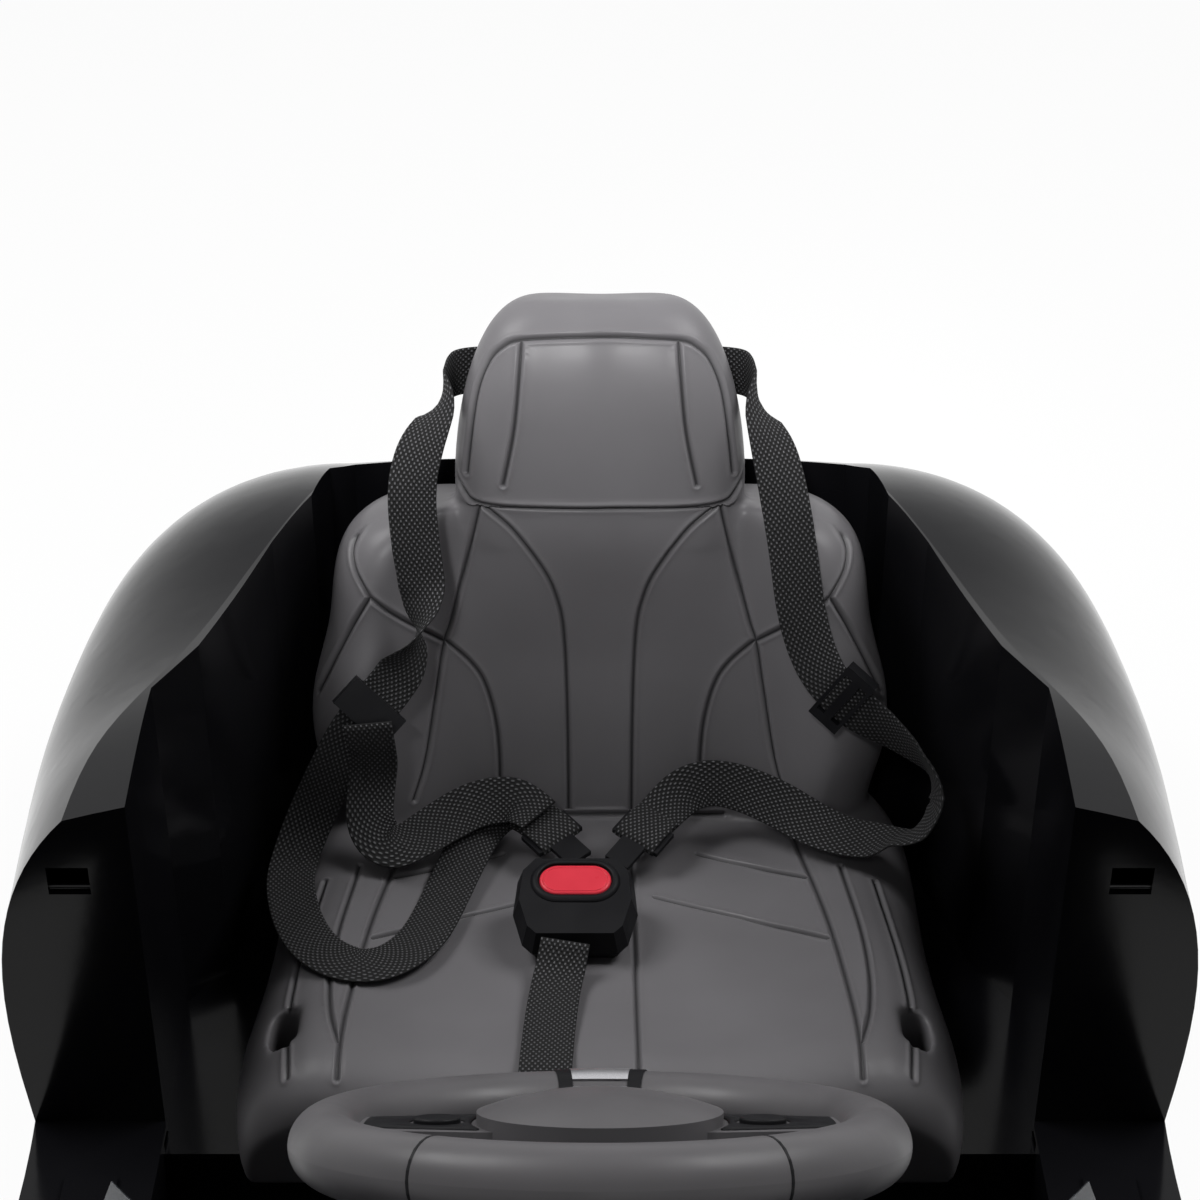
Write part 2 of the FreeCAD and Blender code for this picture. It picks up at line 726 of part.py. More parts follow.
def make_floor_pan():
    top = pan_z + pan_thick
    front_half = front_well_x - wall - wall
    rear_half = rear_well_x - wall - wall
    side_half = cockpit_half_width + overrun
    half = [Vector(front_half, nose_close_y, pan_z), Vector(front_half, hinge_wall_y, pan_z),
            Vector(side_half, hinge_wall_y, pan_z),
            Vector(side_half, rear_axle_y - rear_arch_radius - wall, pan_z),
            Vector(rear_half, rear_axle_y - rear_arch_radius - wall, pan_z),
            Vector(rear_half, tail_close_y, pan_z)]
    points = half + [flip(point) for point in reversed(half)]
    pan = prism(points, Vector(0, 0, pan_thick))
    pieces = []
    beam_low = wheel_radius - axle_beam_height / 2
    for x in (-kingpin_x / 2, kingpin_x / 2):
        pieces.append(box(x - axle_bracket_half, x + axle_bracket_half,
                          front_axle_y - axle_bracket_half, front_axle_y + axle_bracket_half,
                          top, beam_low))
    for x in (-axle_bracket_x, axle_bracket_x):
        half_thick = axle_bracket_thick / 2
        plate = box(x - half_thick, x + half_thick, rear_axle_y - axle_bracket_half,
                    rear_axle_y + axle_bracket_half, top, wheel_radius)
        head = axle_rod(axle_bracket_half, rear_axle_y, x - half_thick, x + half_thick)
        pieces += [plate, head]
    for x in (-footwell_half_width, footwell_half_width):
        pieces.append(box(x - wall, x + wall, jamb_y + overrun,
                          rear_axle_y - rear_arch_radius - overrun, top, top + overrun))
    tray_x = battery_length / 2 + fit_gap
    tray_y = battery_width / 2 + fit_gap
    tray = box(-tray_x - wall, tray_x + wall, battery_y - tray_y - wall, battery_y + tray_y + wall,
               top, top + overrun / 2)
    tray = tray.cut(box(-tray_x, tray_x, battery_y - tray_y, battery_y + tray_y, top, top + overrun))
    axle_hole = axle_rod(axle_radius, rear_axle_y, -body_half_width, body_half_width)
    return joined(pan, tray, *pieces).cut(axle_hole)


# Steering

def steering_placed(shape):
    """Moves a piece drawn about the wheel's own axis (+Z to the driver, +Y to the lap) into place."""
    result = shape.copy()
    turn = FreeCAD.Rotation(Vector(1, 0, 0), column_lean_angle - 90)
    result.Placement = FreeCAD.Placement(column_point(0), turn)
    return result


def make_steering_wheel():
    ring_radius = rim_outer_radius - rim_tube_radius
    rim = Part.makeTorus(ring_radius, rim_tube_radius)
    half_thick = spider_thick / 2
    spoke = [Vector(-ring_radius, -spider_half_height * spoke_top_share, -half_thick),
             Vector(-hub_pad_radius, -spider_half_height, -half_thick),
             Vector(hub_pad_radius, -spider_half_height, -half_thick),
             Vector(ring_radius, -spider_half_height * spoke_top_share, -half_thick),
             Vector(ring_radius, spider_half_height * spoke_low_share, -half_thick),
             Vector(hub_pad_radius, spider_half_height, -half_thick),
             Vector(-hub_pad_radius, spider_half_height, -half_thick),
             Vector(-ring_radius, spider_half_height * spoke_low_share, -half_thick)]
    bar = prism(spoke, Vector(0, 0, spider_thick))
    lower = box(-lower_spoke_half, lower_spoke_half, 0, ring_radius, -half_thick, half_thick)
    hub = rod(hub_pad_radius, Vector(0, 0, -half_thick), Vector(0, 0, half_thick))
    neck = rod(shroud_radius, Vector(0, 0, -spider_thick - half_thick), Vector(0, 0, -half_thick))
    wheel = joined(rim, bar, lower, hub, neck)
    bore = rod(column_radius, Vector(0, 0, -overrun), Vector(0, 0, 0))
    tools = [bore]
    for x in (-button_x, button_x):
        tools.append(rod(button_radius + running_gap, Vector(x, 0, half_thick - button_height),
                         Vector(x, 0, overrun)))
    return steering_placed(wheel.cut(tools))


def make_hub_pad():
    low = spider_thick / 2
    top = low + hub_pad_height
    dome_height = hub_pad_height * pad_dome_share
    dome_radius = (hub_pad_radius ** 2 + dome_height ** 2) / (dome_height + dome_height)
    dome = Part.makeSphere(dome_radius, Vector(0, 0, top - dome_radius), Vector(1, 0, 0))
    pad = rod(hub_pad_radius, Vector(0, 0, low), Vector(0, 0, top)).common(dome)
    return steering_placed(pad)


def make_spoke_trim():
    half_thick = spider_thick / 2
    start_y = hub_pad_radius + fit_gap
    end_y = rim_outer_radius - rim_tube_radius - rim_tube_radius - fit_gap
    narrow = lower_spoke_half * trim_end_share
    points = [Vector(-lower_spoke_half, start_y, half_thick),
              Vector(lower_spoke_half, start_y, half_thick),
              Vector(narrow, end_y, half_thick), Vector(-narrow, end_y, half_thick)]
    trim = prism(points, Vector(0, 0, trim_thick))
    top = half_thick + trim_thick
    trim = softened(trim, trim_thick / 2, lambda edge: edge.CenterOfMass.z > top - fit_gap)
    return steering_placed(trim)


def make_wheel_button(x):
    half_thick = spider_thick / 2
    low = half_thick - button_height + button_travel + fit_gap
    cap = rod(button_radius, Vector(x, 0, low), Vector(x, 0, half_thick + button_travel + fit_gap))
    cap = softened(cap, button_travel / 2,
                   lambda edge: edge.CenterOfMass.z > half_thick + button_travel)
    return steering_placed(cap)


column_lean = math.radians(column_lean_angle)
crank_rise = crank_radius * math.cos(column_lean)
crank_down = (steering_centre_z - tie_rod_z - crank_rise) / math.sin(column_lean)
crank_pin_point = column_point(crank_down, crank_radius)
crank_swing = crank_radius * math.sin(math.radians(wheel_turn_angle))
arm_length = crank_swing / math.sin(math.radians(steer_angle))
tie_rod_y = front_axle_y + arm_length


def make_steering_column():
    elbow = crank_down - crank_drop
    end = crank_down + crank_drop / 2
    shaft = rod(column_radius, column_point(0), column_point(elbow))
    knee = Part.makeSphere(column_radius, column_point(elbow))
    arm = rod(column_radius, column_point(elbow), column_point(elbow, crank_radius))
    elbow_ball = Part.makeSphere(column_radius, column_point(elbow, crank_radius))
    pin = rod(tie_pin_radius, column_point(elbow, crank_radius), column_point(end, crank_radius))
    return joined(shaft, knee, arm, elbow_ball, pin)


def make_column_bushes():
    inner = column_radius + running_gap
    outer = column_radius + bush_wall
    bulkhead_down = column_down_at_y(bulkhead_y)
    half = bush_length / 2
    lower = tube(outer, inner, column_point(bulkhead_down - half), column_point(bulkhead_down + half))
    upper = tube(outer, inner, column_point(dash_bush_down), column_point(dash_bush_down + bush_length))
    return Part.makeCompound([lower, upper])


def make_tie_rod():
    half_width = tie_rod_width / 2
    low = tie_rod_z - tie_rod_thick / 2
    high = tie_rod_z + tie_rod_thick / 2
    bar = box(-kingpin_x, kingpin_x, tie_rod_y - half_width, tie_rod_y + half_width, low, high)
    slot_half = tie_pin_radius + slot_side_gap
    slot_reach = tie_pin_radius + slot_end_gap
    plate_half = slot_half + half_width
    plate = box(-plate_half, plate_half, crank_pin_point.y - slot_reach - half_width / 2,
                crank_pin_point.y + slot_reach + half_width / 2, low, high)
    slot = box(-slot_half, slot_half, crank_pin_point.y - slot_reach, crank_pin_point.y + slot_reach,
               low - overrun, high + overrun)
    ends = []
    for x in (-kingpin_x, kingpin_x):
        ends.append(rod(half_width, Vector(x, tie_rod_y, low), Vector(x, tie_rod_y, high)))
    bar = joined(bar, plate, *ends).cut(slot)
    pin_low = low - knuckle_ear
    pins = []
    for x in (-kingpin_x, kingpin_x):
        pins.append(rod(tie_pin_radius, Vector(x, tie_rod_y, pin_low), Vector(x, tie_rod_y, high)))
    return joined(bar, *pins)


def make_front_axle():
    half_height = axle_beam_height / 2
    half_width = axle_beam_width / 2
    beam = box(-kingpin_x, kingpin_x, front_axle_y - half_width, front_axle_y + half_width,
               wheel_radius - half_height, wheel_radius + half_height)
    groove = box(-kingpin_x / 4, kingpin_x / 4, front_axle_y - half_width / 2,
                 front_axle_y + half_width / 2, wheel_radius, wheel_radius + half_height)
    pieces = []
    for x in (-kingpin_x, kingpin_x):
        pieces.append(rod(half_width, Vector(x, front_axle_y, wheel_radius - half_height),
                          Vector(x, front_axle_y, wheel_radius + half_height)))
        pieces.append(rod(kingpin_radius, Vector(x, front_axle_y, wheel_radius - kingpin_half_length),
                          Vector(x, front_axle_y, wheel_radius + kingpin_half_length)))
    return joined(beam, *pieces).cut(groove)


def make_left_knuckle():
    gap = axle_beam_height / 2 + fit_gap
    ear_top = wheel_radius + gap + knuckle_ear
    ear_low = wheel_radius - gap - knuckle_ear
    web_start = kingpin_x + axle_beam_width / 2 + fit_gap + fit_gap
    web_end = web_start + knuckle_web

    def barrel(radius, y, z_low, z_high):
        return rod(radius, Vector(kingpin_x, y, z_low), Vector(kingpin_x, y, z_high))

    upper = barrel(knuckle_radius, front_axle_y, wheel_radius + gap, ear_top)
    lower = barrel(knuckle_radius, front_axle_y, ear_low, wheel_radius - gap)
    upper_link = box(kingpin_x, web_end, front_axle_y - knuckle_radius, front_axle_y + knuckle_radius,
                     wheel_radius + gap, ear_top)
    lower_link = box(kingpin_x, web_end, front_axle_y - knuckle_radius, front_axle_y + knuckle_radius,
                     ear_low, wheel_radius - gap)
    web = box(web_start, web_end, front_axle_y - knuckle_radius, front_axle_y + knuckle_radius,
              ear_low, ear_top)
    stub_end = front_wheel_x + axle_reach - wheel_end_gap
    stub = axle_rod(axle_radius, front_axle_y, web_start, stub_end)
    arm_top = tie_rod_z - tie_rod_thick / 2 - fit_gap
    arm_low = arm_top - knuckle_ear
    post = barrel(knuckle_radius, front_axle_y, ear_top, arm_top)
    arm = box(kingpin_x - knuckle_radius, kingpin_x + knuckle_radius, front_axle_y, tie_rod_y,
              arm_low, arm_top)
    arm_end = barrel(knuckle_radius, tie_rod_y, arm_low, arm_top)
    knuckle = joined(upper, lower, upper_link, lower_link, web, stub, post, arm, arm_end)
    kingpin_top = wheel_radius + kingpin_half_length + fit_gap
    kingpin = barrel(kingpin_radius + running_gap, front_axle_y, 0, kingpin_top)
    pin_hole = barrel(tie_pin_radius + running_gap, tie_rod_y, 0, tie_rod_z)
    return knuckle.cut([kingpin, pin_hole])


# Road wheels, drawn on the car's left

# How far past the wheel's middle the bore runs and the axle stops short of its end
axle_reach = wheel_width / 2 - rim_lip - wall


def ring_profile(points, x, y):
    """Turns an outline given as (out along the axle, radius) about the axle."""
    corners = [Vector(x + out, y, wheel_radius + radius) for out, radius in points]
    face = Part.Face(Part.makePolygon(corners + [corners[0]]))
    return face.revolve(Vector(x, y, wheel_radius), Vector(1, 0, 0), 360)


def make_tyre(x, y):
    half = wheel_width / 2
    shoulder = wheel_radius - tyre_shoulder
    right_half = [(half / 3, wheel_radius), (half - tyre_shoulder, wheel_radius - tyre_shoulder / 4),
                  (half - tyre_shoulder / 2, shoulder), (half, shoulder - tyre_shoulder),
                  (half, rim_radius)]
    profile = [(-out, radius) for out, radius in reversed(right_half)] + right_half
    tyre = ring_profile(profile, x, y)
    groove_half = tread_groove / 2
    ring = [(-groove_half, wheel_radius - tread_depth), (-groove_half, wheel_radius + overrun),
            (groove_half, wheel_radius + overrun), (groove_half, wheel_radius - tread_depth)]
    tools = [ring_profile(ring, x, y)]
    for number in range(tread_count):
        for side in (-1, 1):
            top = wheel_radius + wheel_radius
            block = box(x + min(0, side * half), x + max(0, side * half), y - groove_half,
                        y + groove_half, top - tread_depth, top + overrun)
            angle = 360 / tread_count * (number + side / 4)
            tools.append(turned(block, Vector(x, y, wheel_radius), Vector(1, 0, 0), angle))
    return tyre.cut(tools)


def make_rim(x, y):
    half = wheel_width / 2
    barrel = ring_profile([(-half + rim_lip, rim_radius - rim_lip), (-half + rim_lip, rim_radius),
                           (half, rim_radius), (half + rim_lip / 2, rim_radius - rim_lip),
                           (half - rim_lip, rim_radius - rim_lip - rim_lip / 2)], x, y)
    face = half - rim_lip - spoke_depth
    hub = axle_rod(hub_radius, y, x - half + rim_lip, x + face + spoke_depth)
    pieces = [hub]
    root = spoke_width / 2
    tip = root * rim_spoke_end_share
    web_radius = rim_radius - rim_lip / 2
    tip_z = wheel_radius + web_radius
    for number in range(spoke_count):
        points = [Vector(x + face, y - root, wheel_radius), Vector(x + face, y + root, wheel_radius),
                  Vector(x + face, y + tip, tip_z), Vector(x + face, y - tip, tip_z)]
        spoke = prism(points, Vector(spoke_depth, 0, 0))
        angle = 360 / spoke_count * number
        pieces.append(turned(spoke, Vector(x, y, wheel_radius), Vector(1, 0, 0), angle))
    web = ring_profile([(-rim_lip, 0), (-rim_lip, web_radius), (0, web_radius), (0, 0)], x, y)
    cap = ring_profile([(half - rim_lip, 0), (half - rim_lip, hub_radius),
                        (half - rim_lip / 2, hub_radius * cap_edge_share),
                        (half, hub_radius * cap_crown_share), (half, 0)], x, y)
    bore = axle_rod(axle_radius + running_gap, y, x - wheel_width, x + axle_reach)
    return joined(barrel, web, cap, *pieces).cut(bore)


# Drive

def make_rear_axle():
    end = rear_wheel_x + axle_reach - wheel_end_gap
    return axle_rod(axle_radius, rear_axle_y, -end, end)


gearbox_x = rear_well_x - wall - gearbox_width - fit_gap
motor_y = rear_axle_y - motor_offset


def make_left_gearbox():
    end = gearbox_x + gearbox_width
    middle = gearbox_x + gearbox_width / 2
    nose_radius = gearbox_radius * gearbox_nose_share
    foot_half = gearbox_radius * gearbox_foot_share
    big = axle_rod(gearbox_radius, rear_axle_y, gearbox_x, end)
    small = axle_rod(nose_radius, motor_y, gearbox_x, end)
    bridge = box(gearbox_x, end, motor_y, rear_axle_y, wheel_radius - nose_radius,
                 wheel_radius + nose_radius)
    flange = axle_rod(gearbox_radius + wall, rear_axle_y, middle - wall, middle)
    foot = box(gearbox_x, end, motor_y - foot_half, motor_y + foot_half, pan_z + pan_thick,
               wheel_radius)
    case = joined(big, small, bridge, flange, foot)
    bore = axle_rod(axle_radius + running_gap, rear_axle_y, 0, body_half_width)
    return case.cut([bore, below_pan()])


def make_drive_motors():
    start = gearbox_x - motor_length
    can = axle_rod(motor_radius, motor_y, start, gearbox_x)
    tail = axle_rod(motor_radius / 2, motor_y, start - wall, start)
    motor = joined(can, tail)
    return Part.makeCompound([motor, mirrored(motor)])


def make_battery():
    half_length = battery_length / 2
    half_width = battery_width / 2
    low = pan_z + pan_thick
    case = box(-half_length, half_length, battery_y - half_width, battery_y + half_width, low,
               low + battery_height)
    case = softened(case, wall, lambda edge: edge.CenterOfMass.z > low + wall)
    groove = box(-half_length - overrun, half_length + overrun, battery_y - half_width - overrun,
                 battery_y - half_width + battery_groove, low + battery_height / 2,
                 low + battery_height / 2 + wall)
    return case.cut(groove)


def make_controller():
    low = pan_z + pan_thick
    half_length = controller_length / 2
    half_width = controller_width / 2
    case = box(controller_x - half_length, controller_x + half_length, controller_y - half_width,
               controller_y + half_width, low, low + controller_height)
    return softened(case, wall, lambda edge: edge.CenterOfMass.z > low + wall)


def make_charge_socket():
    face = jamb_y - platform_lip

    def barrel(radius, y_low, y_high):
        return rod(radius, Vector(socket_x, y_low, charge_z), Vector(socket_x, y_high, charge_z))

    body = barrel(socket_radius, face, face + platform_lip)
    flange = barrel(socket_radius + socket_flange, face - socket_flange, face)
    hole = barrel(socket_radius / 2, face - overrun, face + wall)
    return joined(body, flange).cut(hole)


# Doors, drawn closed on the car's left and then swung open about the hinge

def door_open(shape):
    return turned(shape, Vector(hinge_x, hinge_y, 0), Vector(0, 0, 1), -door_open_angle)


door_front_y = hinge_wall_y + panel_gap
door_rear_y = jamb_y - panel_gap
door_low_z = sill_top_z + panel_gap
knob_y = door_rear_y - bolt_length / 2


def door_zone(inner_x, edge):
    return box(inner_x, body_half_width + overrun, door_front_y + edge, door_rear_y - edge,
               door_low_z + edge, deck_height)


def hinge_barrel(radius, z_low, z_high):
    return rod(radius, Vector(hinge_x, hinge_y, z_low), Vector(hinge_x, hinge_y, z_high))


def bolt_box(grow, shift):
    half_width = bolt_width / 2 + grow
    half_height = bolt_height / 2 + grow
    end = door_rear_y + bolt_throw - panel_gap + shift
    return box(bolt_x - half_width, bolt_x + half_width, end - bolt_length, end,
               bolt_z - half_height, bolt_z + half_height)


def bolt_sweep():
    return [bolt_box(bolt_gap, 0), bolt_box(bolt_gap, -bolt_throw)]


def make_left_door_shell():
    block = body_solid(0).common(door_zone(door_inner_x + wall, 0))
    hollow = body_solid(wall).common(door_zone(door_inner_x, wall))
    ear_gap = hinge_barrel(hinge_ear_radius + hinge_setback / 2, hinge_ear_z - fit_gap,
                           hinge_ear_z + hinge_ear_thick + fit_gap)
    shell = block.cut(hollow)
    post_top = hinge_ear_z + hinge_ear_thick + hinge_pin_reach + wall
    post = hinge_barrel(hinge_ear_radius - wall / 2, door_low_z, post_top)
    shell = joined(shell, post.common(body_solid(fit_gap)))
    pin_hole = hinge_barrel(hinge_pin_radius + running_gap, 0, door_low_z + hinge_pin_reach + fit_gap)
    ear_hole = hinge_barrel(hinge_pin_radius + running_gap, hinge_ear_z - hinge_pin_reach - fit_gap,
                            hinge_ear_z + hinge_ear_thick + hinge_pin_reach + fit_gap)
    return door_open(carved(shell, [ear_gap, pin_hole, ear_hole] + bolt_sweep()))


def make_left_door_trim():
    plate = body_solid(0).common(door_zone(door_inner_x, trim_setback)).common(
        box(0, door_inner_x + wall, nose_y, tail_y, 0, deck_height))
    middle_y = (door_front_y + door_rear_y) / 2
    arm_z = (door_low_z + bolt_z) / 2
    rest = box(door_inner_x - armrest_depth, door_inner_x, middle_y - armrest_length / 2,
               middle_y + armrest_length / 2, arm_z, arm_z + armrest_height)
    rest = softened(rest, armrest_depth * soft_edge_share,
                    lambda edge: edge.CenterOfMass.x < door_inner_x - fit_gap)
    guide_y = door_rear_y - bolt_length + bolt_throw
    guide = box(door_inner_x + wall, bolt_x + bolt_width / 2 + wall, guide_y, guide_y + wall + wall,
                bolt_z - bolt_height / 2 - wall, bolt_z + bolt_height / 2 + wall)
    slot_half = bolt_width / 2 + bolt_gap
    slot = box(0, bolt_x, knob_y - slot_half - bolt_throw, knob_y + slot_half,
               bolt_z - bolt_height / 2 - bolt_gap, bolt_z + bolt_height / 2 + bolt_gap)
    return door_open(carved(joined(plate, rest, guide), [slot] + bolt_sweep()))


def make_left_door_bolt():
    bar = bolt_box(0, 0)
    knob = box(door_inner_x - armrest_depth / 2, bolt_x, knob_y - bolt_width / 2,
               knob_y + bolt_width / 2, bolt_z - bolt_height / 2, bolt_z + bolt_height / 2)
    return door_open(joined(bar, knob))


def make_left_door_hinge():
    lower = hinge_barrel(hinge_pin_radius, sill_top_z, door_low_z + hinge_pin_reach)
    washer = hinge_barrel(hinge_pin_radius + hinge_pin_radius / 2, sill_top_z, door_low_z - fit_gap)
    top = hinge_ear_z + hinge_ear_thick
    pin = hinge_barrel(hinge_pin_radius, hinge_ear_z - hinge_pin_reach, top + hinge_pin_reach)
    ear = hinge_barrel(hinge_ear_radius, hinge_ear_z, top)
    bridge = box(hinge_x - hinge_ear_radius, hinge_x, hinge_y - hinge_relief_radius, hinge_y,
                 hinge_ear_z, top)
    bridge = bridge.common(hinge_barrel(hinge_relief_radius, hinge_ear_z, top))
    return Part.makeCompound([joined(lower, washer), joined(pin, ear, bridge)])


# Dashboard and controls

dash_face_y = hinge_wall_y + dash_overhang
dash_front_y = hinge_wall_y - dash_depth
control_z = (dash_bottom_z + dash_top_z) / 2
switch_pivot_y = dash_face_y - switch_stand


def make_dashboard():
    slope = dash_overhang / 2
    profile = [Vector(-dash_half_width, dash_front_y, dash_bottom_z),
               Vector(-dash_half_width, dash_face_y - slope, dash_bottom_z),
               Vector(-dash_half_width, dash_face_y, dash_bottom_z + slope),
               Vector(-dash_half_width, dash_face_y, dash_top_z - slope),
               Vector(-dash_half_width, dash_face_y - slope, dash_top_z),
               Vector(-dash_half_width, dash_front_y, dash_top_z)]
    block = prism(profile, Vector(dash_half_width + dash_half_width, 0, 0))
    binnacle = box(-binnacle_half_width, binnacle_half_width, dash_front_y, dash_face_y - slope,
                   dash_bottom_z, binnacle_top_z).common(body_solid(wall + fit_gap))
    shroud = rod(shroud_radius, column_point(dash_bush_down),
                 column_point(dash_bush_down + bush_length + bush_length))
    dash = joined(block, binnacle)
    hollow = box(-dash_half_width + wall, dash_half_width - wall, dash_front_y - overrun,
                 hinge_wall_y - wall, dash_bottom_z + wall, dash_top_z - wall)
    dash = joined(dash.cut(hollow), shroud)
    bore = rod(column_radius + bush_wall, column_point(0), column_point(column_down_at_y(bulkhead_y)))
    tools = [bore]
    for x in (-gauge_x, gauge_x):
        tools.append(dash_rod(gauge_radius, x, dash_face_y - gauge_depth, dash_face_y + overrun))
    tools.append(dash_rod(button_radius + running_gap, start_button_x, dash_face_y - switch_depth,
                          dash_face_y + overrun))
    half = switch_width / 2 + fit_gap
    high = switch_height / 2 + wall
    for x in (direction_switch_x, speed_switch_x):
        tools.append(box(x - half, x + half, dash_face_y - switch_depth, dash_face_y + overrun,
                         control_z - high, control_z + high))
        tools.append(switch_pin(x, switch_pin_radius + running_gap, switch_width))
    return dash.cut(tools)


def dash_rod(radius, x, y_low, y_high):
    return rod(radius, Vector(x, y_low, control_z), Vector(x, y_high, control_z))


def switch_pin(x, radius, reach):
    return rod(radius, Vector(x - reach, switch_pivot_y, control_z),
               Vector(x + reach, switch_pivot_y, control_z))


def make_start_button():
    proud = button_travel + fit_gap
    return dash_rod(button_radius, start_button_x, dash_face_y - switch_depth + proud,
                    dash_face_y + proud)


def make_switch(x):
    half = switch_width / 2
    rise = switch_height / 2
    profile_shares = [(0, -1), (1, -1), (1.5, 0), (2, 1), (0, 1)]
    profile = [Vector(x - half, switch_pivot_y + out * switch_stand, control_z + up * rise)
               for out, up in profile_shares]
    cap = prism(profile, Vector(switch_width, 0, 0))
    return joined(cap, switch_pin(x, switch_pin_radius, half + wall))


# Accelerator pedal

pedal_pin_z = floor_top_z + pedal_barrel + fit_gap


def pedal_rod(radius, x_low, x_high):
    return rod(radius, Vector(x_low, pedal_y, pedal_pin_z), Vector(x_high, pedal_y, pedal_pin_z))


def make_pedal_bracket():
    half = pedal_width / 2 + fit_gap
    start = pedal_x - half - pedal_ear
    end = pedal_x + half + pedal_ear
    pieces = []
    for x in (start, end - pedal_ear):
        pieces.append(box(x, x + pedal_ear, pedal_y - pedal_barrel, pedal_y + pedal_barrel,
                          floor_top_z, pedal_pin_z))
        pieces.append(pedal_rod(pedal_barrel, x, x + pedal_ear))
    return joined(pedal_rod(pedal_pin_radius, start, end), *pieces)


def make_pedal():
    start = pedal_x - pedal_width / 2
    end = pedal_x + pedal_width / 2
    top = pedal_pin_z + pedal_thick
    barrel = pedal_rod(pedal_barrel - fit_gap, start, end)
    plate = box(start, end, pedal_y - pedal_length, pedal_y, pedal_pin_z, top)
    plate = softened(plate, pedal_thick * soft_edge_share,
                     lambda edge: edge.CenterOfMass.y < pedal_y - fit_gap)
    grooves = []
    for number in range(pedal_groove_count):
        y = pedal_y - pedal_length * (number + 1) / (pedal_groove_count + 1)
        grooves.append(box(start + wall, end - wall, y - wall / 2, y + wall / 2, top - wall / 2,
                           top + overrun))
    plate = turned(plate.cut(grooves), Vector(pedal_x, pedal_y, pedal_pin_z), Vector(1, 0, 0),
                   -pedal_lean_angle)
    return joined(barrel, plate).cut(pedal_rod(pedal_pin_radius + running_gap, start, end))


# Windscreen, lamps, grille and mirrors

def make_windscreen():
    low_left = Vector(-screen_base_half, screen_base_side_y, screen_base_z)
    low_middle = Vector(0, screen_base_y, screen_base_z)
    top_z = screen_top_z - screen_side_drop
    top_left = Vector(-screen_top_half, screen_top_side_y, top_z)
    top_middle = Vector(0, screen_top_y, screen_top_z)
    low_arc = Part.Arc(low_left, low_middle, flip(low_left)).toShape()
    top_arc = Part.Arc(top_left, top_middle, flip(top_left)).toShape()
    sheet = Part.makeRuledSurface(low_arc, top_arc)
    lean = screen_thick / math.sqrt(2)
    panel = sheet.extrude(Vector(0, -lean, lean))
    return panel.cut(body_solid(0))


def lamp_lens(tool):
    face = skin_layer(0, lamp_thick).common(tool(-fit_gap))
    flange = skin_layer(wall + running_gap, lamp_thick).common(tool(lamp_flange))
    return joined(face, flange)


def make_left_head_housing():
    cup = skin_layer(lamp_thick, lamp_depth).common(head_lamp_tool(lamp_flange))
    hollow = skin_layer(0, lamp_depth - wall).common(head_lamp_tool(0))
    return cup.cut(hollow)


def make_grille():
    panel = skin_layer(wall + running_gap, wall + grille_thick).common(grille_tool(lamp_flange))
    low = grille_shares[0][1] * deck_height
    high = grille_shares[2][1] * deck_height
    slots = []
    z = low + grille_bar
    while z + grille_pitch - grille_bar < high:
        for x in (-grille_half_width, grille_bar / 2):
            slots.append(box(x, x + grille_half_width - grille_bar / 2, nose_y, lamp_back_y, z,
                             z + grille_pitch - grille_bar))
        z += grille_pitch
    return panel.cut([slot.common(grille_tool(-grille_bar)) for slot in slots])


def mirror_base():
    ray = Part.makeLine(Vector(mirror_x, mirror_y, 0), Vector(mirror_x, mirror_y, deck_height))
    top = max(vertex.Z for vertex in body_solid(0).common(ray).Vertexes)
    return Vector(mirror_x, mirror_y, top)


def make_left_mirror():
    base = mirror_base()
    centre = base + Vector(mirror_width * mirror_reach_share, 0, mirror_lift)
    stem = rod(mirror_stem_radius, base - Vector(0, 0, wall), centre)
    half_width = mirror_width / 2
    half_height = mirror_height / 2
    shell = box(centre.x - half_width, centre.x + half_width, centre.y - mirror_depth, centre.y,
                centre.z - half_height, centre.z + half_height)
    shell = softened(shell, mirror_depth * soft_edge_share,
                     lambda edge: edge.CenterOfMass.y < centre.y - fit_gap)
    lip = wall - fit_gap
    recess = box(centre.x - half_width + lip, centre.x + half_width - lip, centre.y - mirror_glass_thick,
                 centre.y + overrun, centre.z - half_height + lip, centre.z + half_height - lip)
    return joined(shell, stem.cut(shell)).cut([recess, body_solid(0)])


def make_mirror_glasses():
    centre = mirror_base() + Vector(mirror_width * mirror_reach_share, 0, mirror_lift)
    half_width = mirror_width / 2 - wall
    half_height = mirror_height / 2 - wall
    glass = box(centre.x - half_width, centre.x + half_width, centre.y - mirror_glass_thick, centre.y,
                centre.z - half_height, centre.z + half_height)
    return Part.makeCompound([glass, mirrored(glass)])


# Seat

def seat_back_point(x, up, forward):
    lean = math.radians(back_lean_angle)
    y = seat_corner_y + up * math.sin(lean) - forward * math.cos(lean)
    z = seat_corner_z + up * math.cos(lean) + forward * math.sin(lean)
    return Vector(x, y, z)


def seat_loft(rows):
    sections = []
    for up_share, *half_shares in rows:
        half = [seat_back_point(x * seat_half_width, up_share * back_length, forward * seat_thick)
                for x, forward in half_shares]
        rear = seat_back_point(0, up_share * back_length, half_shares[-1][1] * seat_thick)
        points = half + [rear] + [flip(point) for point in reversed(half[1:])]
        sections.append(Part.Wire(spline(points, closed=True)))
    return Part.makeLoft(sections, True, False)


